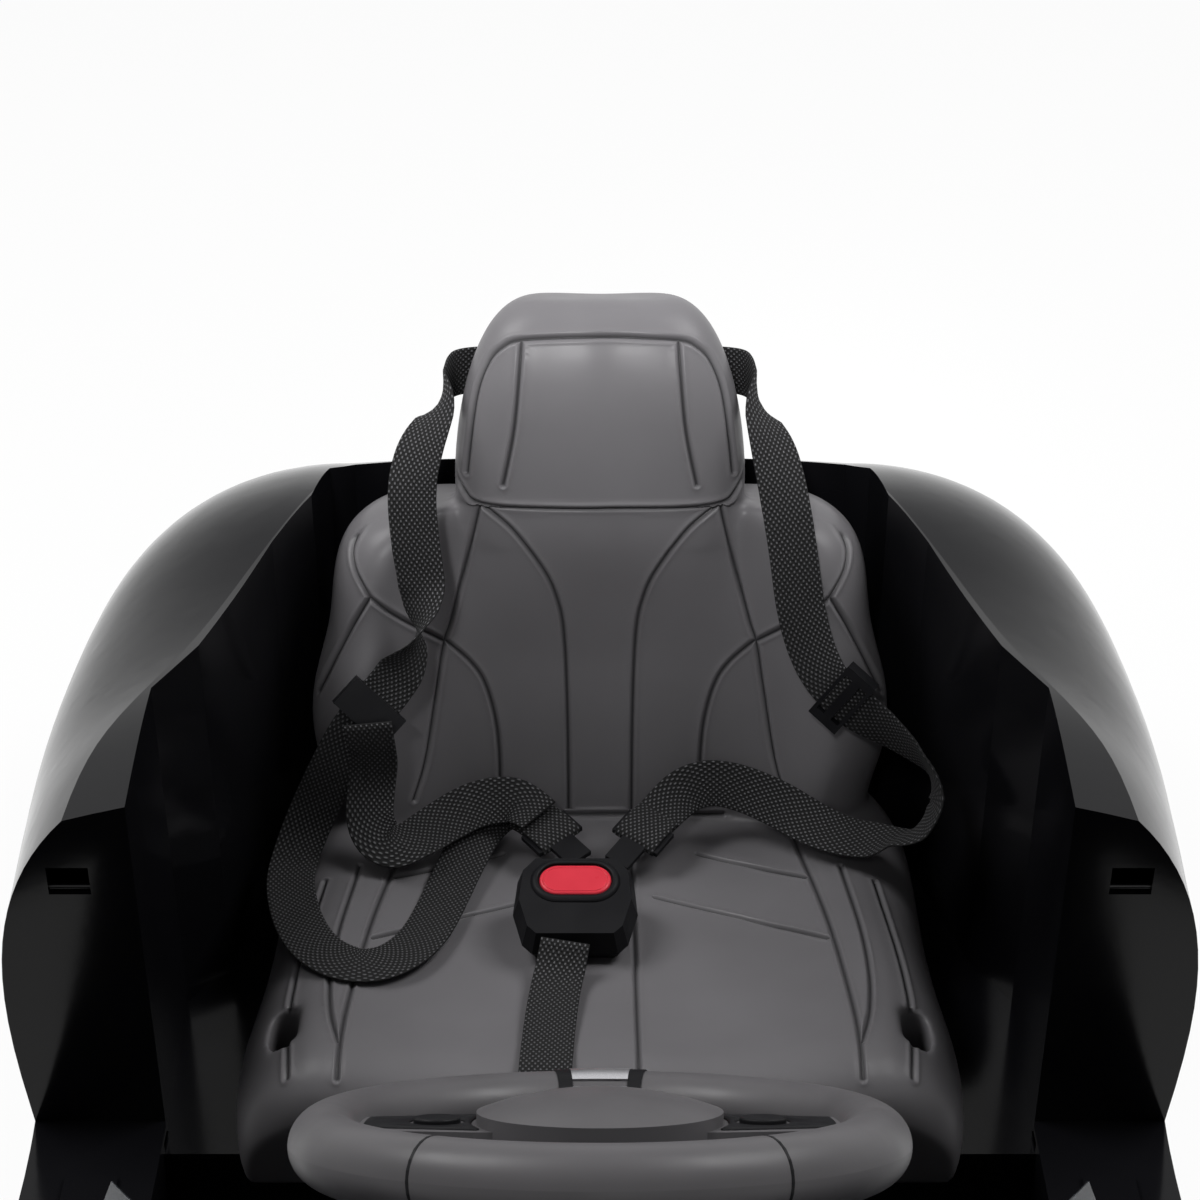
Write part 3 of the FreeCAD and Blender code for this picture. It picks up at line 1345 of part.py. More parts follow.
def cushion_loft():
    sections = []
    for forward_share, centre, valley, crest, side, base_share in cushion_shares:
        y = seat_corner_y - forward_share * cushion_length

        def place(x_share, height_share):
            return Vector(x_share * seat_half_width, y, platform_z + height_share * seat_thick)

        half = [place(*valley), place(*crest), place(*side), place(base_share, 0)]
        points = [flip(point) for point in reversed(half)] + [place(0, centre)] + half
        base = Part.makeLine(half[-1], flip(half[-1]))
        sections.append(Part.Wire([spline(points), base]))
    return Part.makeLoft(sections, True, False)


def seat_slot(x):
    y = seat_corner_y - seat_slot_forward
    half_width = seat_slot_width / 2
    half_run = (seat_slot_length - seat_slot_width) / 2
    floor = platform_z + seat_slot_floor
    middle = box(x - half_width, x + half_width, y - half_run, y + half_run, floor, deck_height)
    ends = [rod(half_width, Vector(x, y + shift, floor), Vector(x, y + shift, deck_height))
            for shift in (-half_run, half_run)]
    return joined(middle, *ends)


def make_seat():
    seat = joined(cushion_loft(), seat_loft(seat_back_shares), seat_loft(head_rest_shares))
    below = box(-body_half_width, body_half_width, nose_y, tail_y, 0, platform_z)
    return seat.cut([below, seat_slot(seat_slot_x), seat_slot(-seat_slot_x)])


def make_seat_screws():
    y = seat_corner_y - seat_slot_forward
    floor = platform_z + seat_slot_floor
    screws = []
    for x in (-seat_slot_x, seat_slot_x):
        head = rod(screw_head_radius, Vector(x, y, floor), Vector(x, y, floor + screw_head_height))
        cross = box(x - screw_head_radius / 2, x + screw_head_radius / 2, y - screw_slot_width / 2,
                    y + screw_slot_width / 2, floor + screw_head_height / 2, deck_height)
        screws.append(head.cut(cross))
    return Part.makeCompound(screws)


# Harness

def strap_point(shares):
    side, up, out = shares
    return seat_back_point(side * seat_half_width, up * back_length, out * seat_thick)


def strap_frames(route):
    """Point, run, across and face of the webbing at each row of its route."""
    points = [strap_point(row[0]) for row in route]
    out = seat_back_point(0, 0, 1) - seat_back_point(0, 0, 0)
    frames = []
    previous = None
    for number, (shares, lay, roll) in enumerate(route):
        before = points[max(number - 1, 0)]
        after = points[min(number + 1, len(points) - 1)]
        run = (after - before).normalize()
        facing = out * (1 - abs(lay)) + Vector(min(lay, 0), 0, max(lay, 0))
        across = run.cross(facing).normalize()
        if previous and across.dot(previous) < 0:
            across = across * -1
        previous = across
        across = FreeCAD.Rotation(run, roll).multVec(across)
        frames.append((points[number], run, across, run.cross(across)))
    return frames


def webbing(route):
    """A flat strap as a straight-sided loft of thin rectangles, from the far end of its route."""
    sections = []
    for point, run, across, face in reversed(strap_frames(route)):
        side = across * (webbing_width / 2)
        rise = face * (webbing_thick / 2)
        corners = [point + side + rise, point - side + rise, point - side - rise, point + side - rise]
        sections.append(Part.makePolygon(corners + [corners[0]]))
    return Part.makeLoft(sections, True, True)


def mirrored_start():
    return [((-shares[0], shares[1], shares[2]), lay, roll) for shares, lay, roll in strap_start_shares]


right_strap_route = mirrored_start() + right_shoulder_shares + right_loop_shares
left_strap_route = strap_start_shares + left_shoulder_shares + left_loop_shares


def make_right_strap():
    return Part.makeCompound([webbing(right_strap_route), webbing(right_return_shares)])


def strap_placed(shape, frame):
    """Moves a piece drawn with +X across, +Y along and +Z facing out of the webbing onto it."""
    point, run, across, face = frame
    matrix = FreeCAD.Matrix(across.x, run.x, -face.x, point.x, across.y, run.y, -face.y, point.y,
                            across.z, run.z, -face.z, point.z, 0, 0, 0, 1)
    return shape.transformGeometry(matrix)


def adjuster():
    half_width = adjuster_width / 2
    half_height = adjuster_height / 2
    half_thick = adjuster_thick / 2
    frame = box(-half_width, half_width, -half_height, half_height, -half_thick, half_thick)
    slot_half = webbing_width / 2 + adjuster_wall
    slot = box(-slot_half, slot_half, -adjuster_height, adjuster_height, -half_thick + adjuster_wall,
               half_thick - adjuster_wall)
    window_half = webbing_width / 2
    windows = []
    for shift in (-adjuster_bar, adjuster_bar):
        windows.append(box(-window_half, window_half, shift - adjuster_bar / 2,
                           shift + adjuster_bar / 2, 0, adjuster_thick))
    return frame.cut([slot] + windows)


def middle_frame(first, second):
    run = (second[0] - first[0]).normalize()
    across = first[2] + second[2]
    across = (across - run * across.dot(run)).normalize()
    return (first[0] + second[0]) * 0.5, run, across, run.cross(across)


def make_adjusters():
    adjusters = []
    for route, shoulder in ((right_strap_route, right_shoulder_shares),
                            (left_strap_route, left_shoulder_shares)):
        last = len(strap_start_shares) + len(shoulder) - 1
        frames = strap_frames(route)
        adjusters.append(strap_placed(adjuster(), middle_frame(frames[last - 1], frames[last])))
    return Part.makeCompound(adjusters)


def tongue():
    half_width = tongue_width / 2
    half_thick = tongue_thick / 2
    plate = box(-half_width, half_width, fit_gap, tongue_length, -half_thick, half_thick)
    narrow = box(half_width / 2, half_width, tongue_length / 2, tongue_length, -half_thick, half_thick)
    return plate.cut([narrow, mirrored(narrow)])


def make_tongues():
    right = strap_frames(right_strap_route)[-1]
    left = strap_frames(left_strap_route)[-1]
    return Part.makeCompound([strap_placed(tongue(), right), strap_placed(tongue(), left)])


def buckle_placed(shape):
    result = shape.copy()
    centre = Vector(buckle_x, seat_corner_y - buckle_forward, seat_corner_z + buckle_lift)
    result.Placement = FreeCAD.Placement(centre, FreeCAD.Rotation(Vector(1, 0, 0), buckle_tilt_angle))
    return result


buckle_outline_shares = [(0.34, -0.50), (0.42, -0.40), (0.50, -0.05), (0.47, 0.34), (0.36, 0.50)]


def buckle_ring(shrink, z):
    half = [Vector(x * (buckle_width - shrink), y * (buckle_length - shrink), z)
            for x, y in buckle_outline_shares]
    points = half + [flip(point) for point in reversed(half)]
    return Part.makePolygon(points + [points[0]])


def button_pocket(grow, z_low, z_high):
    half_run = (red_button_width - red_button_length) / 2
    radius = red_button_length / 2 + grow
    y = buckle_length * red_button_place_share
    middle = box(-half_run, half_run, y - radius, y + radius, z_low, z_high)
    ends = [rod(radius, Vector(x, y, z_low), Vector(x, y, z_high)) for x in (-half_run, half_run)]
    return joined(middle, *ends)


def make_buckle():
    half_thick = buckle_thick / 2
    facet = buckle_thick * buckle_facet_share
    widest = buckle_ring(0, -half_thick + facet)
    lower = Part.makeLoft([buckle_ring(facet, -half_thick), widest], True, True)
    upper = Part.makeLoft([widest, buckle_ring(facet, half_thick)], True, True)
    pocket_floor = half_thick - red_button_travel - red_button_travel - wall
    pocket = button_pocket(running_gap, pocket_floor, buckle_thick)
    return buckle_placed(joined(lower, upper).cut(pocket))


def make_buckle_button():
    half_thick = buckle_thick / 2
    top = half_thick + red_button_stand
    low = half_thick - red_button_travel - wall + fit_gap
    button = button_pocket(0, low, top)
    button = softened(button, red_button_stand, lambda edge: edge.CenterOfMass.z > top - fit_gap)
    return buckle_placed(button)


def build():
    nodes = {
        "front_body": make_front_body(),
        "rear_body": make_rear_body(),
        "centre_tub": make_centre_tub(),
        "floor_pan": make_floor_pan(),
        "steering_wheel": make_steering_wheel(),
        "hub_pad": make_hub_pad(),
        "spoke_trim": make_spoke_trim(),
        "horn_button": make_wheel_button(-button_x),
        "music_button": make_wheel_button(button_x),
        "steering_column": make_steering_column(),
        "column_bushes": make_column_bushes(),
        "tie_rod": make_tie_rod(),
        "front_axle": make_front_axle(),
        "rear_axle": make_rear_axle(),
        "drive_motors": make_drive_motors(),
        "battery": make_battery(),
        "controller": make_controller(),
        "charge_socket": make_charge_socket(),
        "dashboard": make_dashboard(),
        "start_button": make_start_button(),
        "direction_switch": make_switch(direction_switch_x),
        "speed_switch": make_switch(speed_switch_x),
        "pedal_bracket": make_pedal_bracket(),
        "pedal": make_pedal(),
        "windscreen": make_windscreen(),
        "grille": make_grille(),
        "mirror_glasses": make_mirror_glasses(),
        "seat": make_seat(),
        "seat_screws": make_seat_screws(),
        "shoulder_strap_right": make_right_strap(),
        "shoulder_strap_left": webbing(left_strap_route),
        "crotch_strap": webbing(crotch_shares),
        "strap_adjusters": make_adjusters(),
        "strap_tongues": make_tongues(),
        "buckle": make_buckle(),
        "buckle_button": make_buckle_button(),
    }
    paired = {
        "knuckle": make_left_knuckle(),
        "front_tyre": make_tyre(front_wheel_x, front_axle_y),
        "front_rim": make_rim(front_wheel_x, front_axle_y),
        "rear_tyre": make_tyre(rear_wheel_x, rear_axle_y),
        "rear_rim": make_rim(rear_wheel_x, rear_axle_y),
        "gearbox": make_left_gearbox(),
        "door_shell": make_left_door_shell(),
        "door_trim": make_left_door_trim(),
        "door_bolt": make_left_door_bolt(),
        "head_lens": lamp_lens(head_lamp_tool),
    }
    grouped = {
        "door_hinges": make_left_door_hinge(),
        "head_housings": make_left_head_housing(),
        "tail_lamps": lamp_lens(tail_lamp_tool),
        "mirrors": make_left_mirror(),
    }
    for name, shape in grouped.items():
        nodes[name] = Part.makeCompound([shape, mirrored(shape)])
    for name, shape in paired.items():
        nodes[name + "_left"] = shape
        nodes[name + "_right"] = mirrored(shape)
    return nodes


os.makedirs("parts", exist_ok=True)
for name, shape in build().items():
    print(name, shape.isValid(), len(shape.Solids), round(shape.Volume))
    shape.exportStep("parts/" + name + ".step")
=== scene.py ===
import json
import math

import bmesh
import bpy
from mathutils import Matrix, Vector
from mathutils.bvhtree import BVHTree
from mathutils.kdtree import KDTree


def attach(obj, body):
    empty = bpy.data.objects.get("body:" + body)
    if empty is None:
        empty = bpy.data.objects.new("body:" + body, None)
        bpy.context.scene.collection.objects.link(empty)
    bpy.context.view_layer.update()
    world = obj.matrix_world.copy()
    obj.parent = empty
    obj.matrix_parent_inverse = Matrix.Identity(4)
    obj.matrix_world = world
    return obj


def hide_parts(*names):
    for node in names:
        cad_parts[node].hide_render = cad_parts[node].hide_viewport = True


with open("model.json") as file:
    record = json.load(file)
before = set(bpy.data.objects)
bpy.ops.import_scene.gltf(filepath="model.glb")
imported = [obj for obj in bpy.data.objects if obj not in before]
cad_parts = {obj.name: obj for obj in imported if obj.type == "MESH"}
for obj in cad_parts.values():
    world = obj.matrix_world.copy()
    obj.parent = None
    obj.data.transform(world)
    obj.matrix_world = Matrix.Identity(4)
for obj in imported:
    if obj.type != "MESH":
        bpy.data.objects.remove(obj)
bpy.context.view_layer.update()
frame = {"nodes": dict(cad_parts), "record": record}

mm = 0.001

# Seat frame, as in the solid model: a corner line, a back that leans, a cushion ahead of it
seat_corner = Vector((0, 235, 200)) * mm
back_lean = math.radians(15)
seat_half_width = 165 * mm
back_length = 297 * mm
seat_thick = 40 * mm
back_up = Vector((0, math.sin(back_lean), math.cos(back_lean)))
back_out = Vector((0, -math.cos(back_lean), math.sin(back_lean)))

# Steering wheel frame: its centre, the way it faces and the way down its face to the lap
wheel_centre = Vector((0, -212, 392)) * mm
column_lean = math.radians(53)
wheel_out = Vector((0, math.cos(column_lean), math.sin(column_lean)))
wheel_down = Vector((0, math.sin(column_lean), -math.cos(column_lean)))
rim_ring_radius = 104 * mm
rim_tube_radius = 14 * mm

# Webbing: its size, the pitches of its weave and how sharply the painted highlights on the tops of its
# threads stand out
webbing_width = 26 * mm
webbing_thick = 1.4 * mm
weave_across = 2.9 * mm
weave_along = 3.8 * mm
thread_highlight_sharpness = 2.6

# Painted shade in the bottom of the seat's seams and crease: its colour, and how much of it shows there
painted_seam_shade = (0.012, 0.012, 0.013)
painted_seam_shade_share = 0.9


# Material helpers

# The share of a noise or weave value's range over which colours and roughness run from low to high
pattern_low = 0.3
pattern_high = 0.7


def new_material(name, colour, roughness, metallic=0.0):
    material = bpy.data.materials.new(name)
    material.use_nodes = True
    shader = material.node_tree.nodes["Principled BSDF"]
    shader.inputs["Base Color"].default_value = (*colour, 1)
    shader.inputs["Roughness"].default_value = roughness
    shader.inputs["Metallic"].default_value = metallic
    return material, shader


def noise(material, scale, detail=2.0, stretch=(1, 1, 1)):
    """Noise in the object's own metres, stretched along an axis where wanted."""
    nodes = material.node_tree.nodes
    links = material.node_tree.links
    place = nodes.new("ShaderNodeTexCoord")
    mapping = nodes.new("ShaderNodeMapping")
    mapping.inputs["Scale"].default_value = stretch
    texture = nodes.new("ShaderNodeTexNoise")
    texture.inputs["Scale"].default_value = scale
    texture.inputs["Detail"].default_value = detail
    links.new(place.outputs["Object"], mapping.inputs["Vector"])
    links.new(mapping.outputs["Vector"], texture.inputs["Vector"])
    return texture.outputs["Fac"]


def tint(material, shader, value, low, high):
    ramp = material.node_tree.nodes.new("ShaderNodeValToRGB")
    first, last = ramp.color_ramp.elements
    first.position = pattern_low
    first.color = (*low, 1)
    last.position = pattern_high
    last.color = (*high, 1)
    material.node_tree.links.new(value, ramp.inputs["Fac"])
    material.node_tree.links.new(ramp.outputs["Color"], shader.inputs["Base Color"])


def vary_roughness(material, shader, value, low, high):
    spread = material.node_tree.nodes.new("ShaderNodeMapRange")
    spread.inputs["From Min"].default_value = pattern_low
    spread.inputs["From Max"].default_value = pattern_high
    spread.inputs["To Min"].default_value = low
    spread.inputs["To Max"].default_value = high
    material.node_tree.links.new(value, spread.inputs["Value"])
    material.node_tree.links.new(spread.outputs["Result"], shader.inputs["Roughness"])


def bump(material, shader, value, strength, depth):
    relief = material.node_tree.nodes.new("ShaderNodeBump")
    relief.inputs["Strength"].default_value = strength
    relief.inputs["Distance"].default_value = depth
    material.node_tree.links.new(value, relief.inputs["Height"])
    material.node_tree.links.new(relief.outputs["Normal"], shader.inputs["Normal"])


def arithmetic(tree, operation, first, second=None):
    """A Math node; its inputs are sockets or plain numbers."""
    made = tree.nodes.new("ShaderNodeMath")
    made.operation = operation
    for number, value in enumerate((first, second)):
        if isinstance(value, (int, float)):
            made.inputs[number].default_value = value
        elif value is not None:
            tree.links.new(value, made.inputs[number])
    return made.outputs["Value"]


# Materials

def gloss_black():
    material, shader = new_material("gloss_black", (0.005, 0.005, 0.006), 0.12)
    shader.inputs["Specular IOR Level"].default_value = 0.18
    tint(material, shader, noise(material, 5), (0.004, 0.004, 0.005), (0.006, 0.006, 0.007))
    vary_roughness(material, shader, noise(material, 9, 4), 0.10, 0.17)
    bump(material, shader, noise(material, 160, 1), 0.04, 0.4 * mm)
    return material


def black_plastic():
    material, shader = new_material("black_plastic", (0.007, 0.007, 0.008), 0.45)
    shader.inputs["Specular IOR Level"].default_value = 0.08
    tint(material, shader, noise(material, 25, 3), (0.005, 0.005, 0.006), (0.009, 0.009, 0.010))
    vary_roughness(material, shader, noise(material, 60, 3), 0.36, 0.55)
    bump(material, shader, noise(material, 1500, 2), 0.18, 0.15 * mm)
    return material


def seat_grey():
    material, shader = new_material("seat_grey", (0.125, 0.121, 0.128), 0.38)
    shader.inputs["Specular IOR Level"].default_value = 0.17
    tint(material, shader, noise(material, 14, 3), (0.118, 0.114, 0.120), (0.132, 0.128, 0.135))
    # Painted shade: the bottom of every seam and of the crease is coloured darker
    darken_in_seams(material, shader)
    vary_roughness(material, shader, noise(material, 40, 3), 0.33, 0.42)
    bump(material, shader, noise(material, 1100, 2), 0.05, 0.1 * mm)
    return material


def darken_in_seams(material, shader):
    """Painted shade in the bottom of the moulded seams and the back's crease, from the skin's own seam
    values.
    """
    tree = material.node_tree
    depth = tree.nodes.new("ShaderNodeAttribute")
    depth.attribute_name = "seam"
    mix = tree.nodes.new("ShaderNodeMix")
    mix.data_type = "RGBA"
    painted = shader.inputs["Base Color"].links[0].from_socket
    share = arithmetic(tree, "MULTIPLY", depth.outputs["Fac"], painted_seam_shade_share)
    tree.links.new(share, mix.inputs["Factor"])
    tree.links.new(painted, mix.inputs["A"])
    mix.inputs["B"].default_value = (*painted_seam_shade, 1)
    tree.links.new(mix.outputs["Result"], shader.inputs["Base Color"])


def wheel_grey():
    material, shader = new_material("wheel_grey", (0.088, 0.085, 0.089), 0.40)
    shader.inputs["Specular IOR Level"].default_value = 0.22
    tint(material, shader, noise(material, 18, 3), (0.081, 0.078, 0.082), (0.094, 0.090, 0.095))
    vary_roughness(material, shader, noise(material, 45, 3), 0.36, 0.47)
    bump(material, shader, noise(material, 1400, 2), 0.10, 0.12 * mm)
    return material


def silver():
    material, shader = new_material("silver", (0.46, 0.46, 0.48), 0.34, 0.85)
    tint(material, shader, noise(material, 1800, 1), (0.42, 0.42, 0.44), (0.50, 0.50, 0.52))
    vary_roughness(material, shader, noise(material, 30, 3), 0.26, 0.38)
    return material


def tyre():
    material, shader = new_material("tyre", (0.018, 0.018, 0.019), 0.75)
    tint(material, shader, noise(material, 30, 4), (0.013, 0.013, 0.014), (0.027, 0.026, 0.026))
    vary_roughness(material, shader, noise(material, 80, 3), 0.66, 0.85)
    bump(material, shader, noise(material, 700, 3), 0.30, 0.25 * mm)
    return material


def steel():
    material, shader = new_material("steel", (0.52, 0.52, 0.53), 0.30, 1.0)
    brushed = noise(material, 120, 3, (0.04, 1, 1))
    tint(material, shader, brushed, (0.44, 0.44, 0.45), (0.60, 0.60, 0.61))
    vary_roughness(material, shader, brushed, 0.24, 0.42)
    bump(material, shader, brushed, 0.05, 0.1 * mm)
    return material


def red():
    material, shader = new_material("red", (0.59, 0.030, 0.050), 0.36)
    shader.inputs["Specular IOR Level"].default_value = 0.2
    tint(material, shader, noise(material, 60, 2), (0.56, 0.026, 0.045), (0.62, 0.034, 0.055))
    vary_roughness(material, shader, noise(material, 90, 3), 0.26, 0.38)
    bump(material, shader, noise(material, 900, 2), 0.06, 0.1 * mm)
    return material


def clear():
    material, shader = new_material("clear", (0.94, 0.95, 0.96), 0.03)
    shader.inputs["Transmission Weight"].default_value = 0.95
    shader.inputs["IOR"].default_value = 1.49
    vary_roughness(material, shader, noise(material, 40, 3), 0.02, 0.06)
    return material


def screen():
    material, shader = new_material("screen", (0.30, 0.32, 0.35), 0.04)
    shader.inputs["Transmission Weight"].default_value = 0.9
    shader.inputs["IOR"].default_value = 1.49
    tint(material, shader, noise(material, 6, 2), (0.27, 0.29, 0.32), (0.33, 0.35, 0.38))
    vary_roughness(material, shader, noise(material, 35, 3), 0.02, 0.07)
    return material


def lamp_red():
    material, shader = new_material("lamp_red", (0.42, 0.008, 0.012), 0.10)
    shader.inputs["Transmission Weight"].default_value = 0.2
    shader.inputs["Specular IOR Level"].default_value = 0.25
    tint(material, shader, noise(material, 20, 2), (0.36, 0.006, 0.010), (0.46, 0.010, 0.014))
    ridges = noise(material, 260, 0, (0.1, 0.1, 1))
    bump(material, shader, ridges, 0.25, 0.5 * mm)
    return material


def reflector():
    material, shader = new_material("reflector", (0.82, 0.82, 0.83), 0.10, 1.0)
    vary_roughness(material, shader, noise(material, 50, 3), 0.06, 0.16)
    bump(material, shader, noise(material, 90, 1), 0.08, 0.4 * mm)
    return material


def mirror():
    material, shader = new_material("mirror", (0.88, 0.89, 0.90), 0.03, 1.0)
    vary_roughness(material, shader, noise(material, 30, 3), 0.02, 0.06)
    return material


def battery():
    material, shader = new_material("battery", (0.03, 0.035, 0.05), 0.5)
    tint(material, shader, noise(material, 30, 3), (0.024, 0.028, 0.042), (0.036, 0.042, 0.060))
    bump(material, shader, noise(material, 900, 2), 0.15, 0.15 * mm)
    return material


def webbing():
    """Woven black tape: rows of small raised threads whose tops carry a painted highlight, set from the
    ribbon's own UV metres.
    """
    material, shader = new_material("webbing", (0.010, 0.010, 0.011), 0.62)
    shader.inputs["Specular IOR Level"].default_value = 0.3
    tree = material.node_tree
    place = tree.nodes.new("ShaderNodeUVMap")
    place.uv_map = "weave"
    split = tree.nodes.new("ShaderNodeSeparateXYZ")
    tree.links.new(place.outputs["UV"], split.inputs["Vector"])
    waves = []
    for axis, pitch in (("X", weave_across), ("Y", weave_along)):
        turn = arithmetic(tree, "MULTIPLY", split.outputs[axis], 2 * math.pi / pitch)
        waves.append(arithmetic(tree, "SINE", turn))
    threads = arithmetic(tree, "MULTIPLY", *waves)
    lifted = arithmetic(tree, "MULTIPLY", arithmetic(tree, "ADD", threads, 1.0), 0.5)
    painted_thread_highlights = arithmetic(tree, "POWER", lifted, thread_highlight_sharpness)
    # Painted highlight: the tops of the threads are coloured lighter than the black ground; their relief
    # itself is the bump below
    tint(material, shader, painted_thread_highlights, (0.001, 0.001, 0.0012), (0.065, 0.065, 0.069))
    vary_roughness(material, shader, painted_thread_highlights, 0.9, 0.45)
    bump(material, shader, lifted, 1.0, 0.6 * mm)
    return material


slot_materials = {maker.__name__: maker() for maker in (
    gloss_black, black_plastic, seat_grey, wheel_grey, silver, tyre, steel, red, clear, screen,
    lamp_red, reflector, mirror, battery, webbing)}


def dress_cad_nodes():
    for row in frame["record"]["subparts"]:
        materials = frame["nodes"][row["node"]].data.materials
        materials.clear()
        materials.append(slot_materials[row["material_slot"]])


# Building pieces

def add_piece(name, mesh, body, slot):
    piece = bpy.data.objects.new(name, mesh)
    bpy.context.scene.collection.objects.link(piece)
    mesh.materials.clear()
    mesh.materials.append(slot_materials[slot])
    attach(piece, body)
    return piece


def evaluated_mesh(piece):
    bpy.context.view_layer.update()
    return bpy.data.meshes.new_from_object(piece.evaluated_get(bpy.context.evaluated_depsgraph_get()))


def smooth_line(points, steps):
    """A smooth line through all the points, with some steps between each pair."""
    line = []
    count = len(points)
    for number in range(count - 1):
        before = points[max(number - 1, 0)]
        start, end = points[number], points[number + 1]
        after = points[min(number + 2, count - 1)]
        for step in range(steps):
            t = step / steps
            bend = start * 2 + (end - before) * t
            bend += (before * 2 - start * 5 + end * 4 - after) * t ** 2
            bend += (start * 3 - before - end * 3 + after) * t ** 3
            line.append(bend / 2)
    line.append(points[-1])
    return line


# Seat: the solid's skin, evened out, with the moulded seams pressed into it.
# Seam tables are millimetres: sideways and up the back, or sideways and forward on the cushion.

back_seams = [
    [(72, 207), (70, 225), (66, 251), (60, 267), (53, 275), (43, 279.5), (20, 281), (0, 281.5)],
    [(42, 279), (43, 262), (46, 232), (52, 202)],
    [(80, 206), (74, 197), (66, 191), (40, 189), (0, 188.5)],
    [(66, 189), (74, 152), (82, 121), (86, 108), (90, 84), (97, 41), (104, 18)],
    [(117, 184), (125, 181), (130, 176), (134, 169), (135, 163), (133, 156), (129, 149), (124.5, 142)],
    [(124.5, 142), (114, 133), (102.5, 123), (86, 109)],
    [(124.5, 142), (133, 128), (145, 106), (156, 84)],
    [(64, 189), (47, 175), (30, 150), (23, 131), (20, 112), (18.5, 75), (18, 30), (18, 0)],
    [(85, 109), (71, 93), (64, 80), (59, 60), (57, 38), (57, 6)],
]
cushion_seams = [
    [(18, 10), (18, 90), (18.5, 165), (19, 240)],
    [(30, 77), (75, 96), (119, 131)],
    [(54, 34), (83, 49), (112, 72)],
    [(107, 28), (119, 104), (126, 174), (128, 211), (128, 240)],
    [(131, 68), (137, 123), (138, 164), (135, 195), (129, 218)],
    [(149, 80), (155, 135), (157, 175), (156, 202), (153, 236)],
]

# The skin's even grid, and the smoothing that settles it and the slope below the head rest
skin_voxel = 2.4 * mm
smooth_factor = 0.5
skin_passes = 12
neck_passes = 14

# The slope below the head rest: how far up it starts and ends, its half width, how square its sides
# fade, and how far out from the back's plane the front of the seat begins
neck_span = (85 * mm, 187 * mm)
neck_half_width = 80 * mm
neck_squareness = 6
front_depth = -6 * mm

# The head rest's lower edge: where it is, and how far the skin rises above it and drops below it
head_edge_up = 189 * mm
head_edge_half_width = 80 * mm
head_edge_squareness = 8
head_rise = 1.8 * mm
head_rise_fade = 15 * mm
neck_drop = 1.2 * mm
neck_drop_fade = 12 * mm

# The crease between the back and the cushion, the direction from which both are seen, and how far
# away a ray that looks for the skin starts
crease_half_length = 70 * mm
crease_view = (back_out + Vector((0, 0, 1))).normalized()
ray_start = 200 * mm

# Seams: their depth and width, the lips beside them, the rounds of finer grid near them, how close
# their points are, how much a face must look out to carry them, and how far up the back they begin
seam_depth = 1.5 * mm
seam_half_width = 1.1 * mm
lip_height = 0.45 * mm
lip_distance = 2.5 * mm
seam_reaches = (5 * mm, 3.2 * mm)
seam_cuts = (2, 1)
seam_spacing = 0.25 * mm
least_facing = 0.35
back_seams_from = 4 * mm


def back_place(point):
    """Sideways, up the back and out from it, for a point of the car."""
    offset = point - seat_corner
    return Vector((offset.x, offset.dot(back_up), offset.dot(back_out)))


def seam_points(seams):
    """Points so close along the seams of both sides that the nearest one gives the distance."""
    points = []
    for seam in seams:
        corners = [Vector((x, along, 0)) * mm for x, along in seam]
        longest = max((after - before).length for before, after in zip(corners, corners[1:]))
        line = smooth_line(corners, math.ceil(longest / seam_spacing))
        points += line + [Vector((-point.x, point.y, 0)) for point in line]
    return points


def crease_points(skin):
    """Points on the skin along the corner between the back and the cushion."""
    surface = BVHTree.FromBMesh(skin)
    count = round(crease_half_length / seam_spacing)
    points = []
    for step in range(-count, count + 1):
        above = seat_corner + Vector((step * seam_spacing, 0, 0)) + crease_view * ray_start
        points.append(surface.ray_cast(above, -crease_view)[0])
    return points


def middle_share(x, half_width, squareness):
    """One down the middle of the back, falling to zero at the half width."""
    return 1 - (x / half_width) ** squareness


def fill_neck(skin):
    """Turns the dent below the head rest into one gentle slope down the middle of the back."""
    surface = BVHTree.FromBMesh(skin)
    low, high = neck_span

    def front_at(x, up):
        """How far out the skin's front is, or None beside the seat."""
        ahead = seat_corner + Vector((x, 0, 0)) + back_up * up + back_out * ray_start
        hit = surface.ray_cast(ahead, -back_out)[0]
        return hit and back_place(hit).z

    moved = []
    for vertex in skin.verts:
        place = back_place(vertex.co)
        sideways = middle_share(place.x, neck_half_width, neck_squareness)
        if sideways > 0 and low < place.y < high and place.z > front_depth:
            part = (place.y - low) / (high - low)
            foot, head = front_at(place.x, low), front_at(place.x, high)
            if foot is not None and head is not None:
                wanted = foot + (head - foot) * part ** 2 * (3 - 2 * part)
                vertex.co += back_out * ((wanted - place.z) * sideways)
                moved.append(vertex)
    for _ in range(neck_passes):
        bmesh.ops.smooth_vert(skin, verts=moved, factor=smooth_factor,
                              use_axis_x=True, use_axis_y=True, use_axis_z=True)
    skin.normal_update()


def head_rest_step(point, normal):
    """How far the skin stands out above the head rest's lower edge, or sinks below it."""
    place = back_place(point)
    sideways = middle_share(place.x, head_edge_half_width, head_edge_squareness)
    if normal.dot(back_out) < least_facing or sideways < 0:
        return 0
    above = place.y - head_edge_up
    if above > 0:
        return sideways * head_rise * math.exp(-above / head_rise_fade)
    return -sideways * neck_drop * math.exp(above / neck_drop_fade)


def point_finder(points):
    finder = KDTree(len(points))
    for number, point in enumerate(points):
        finder.insert(point, number)
    finder.balance()
    return finder


def seam_distance(point, normal, back_finder, cushion_finder, crease_finder):
    """How far a point of the seat is from the nearest seam of its front."""
    distance = crease_finder.find(point)[2]
    place = back_place(point)
    if normal.dot(back_out) > least_facing and place.y > back_seams_from:
        return min(distance, back_finder.find(Vector((place.x, place.y, 0)))[2])
    if normal.z > least_facing:
        return min(distance, cushion_finder.find(Vector((point.x, seat_corner.y - point.y, 0)))[2])
    return distance


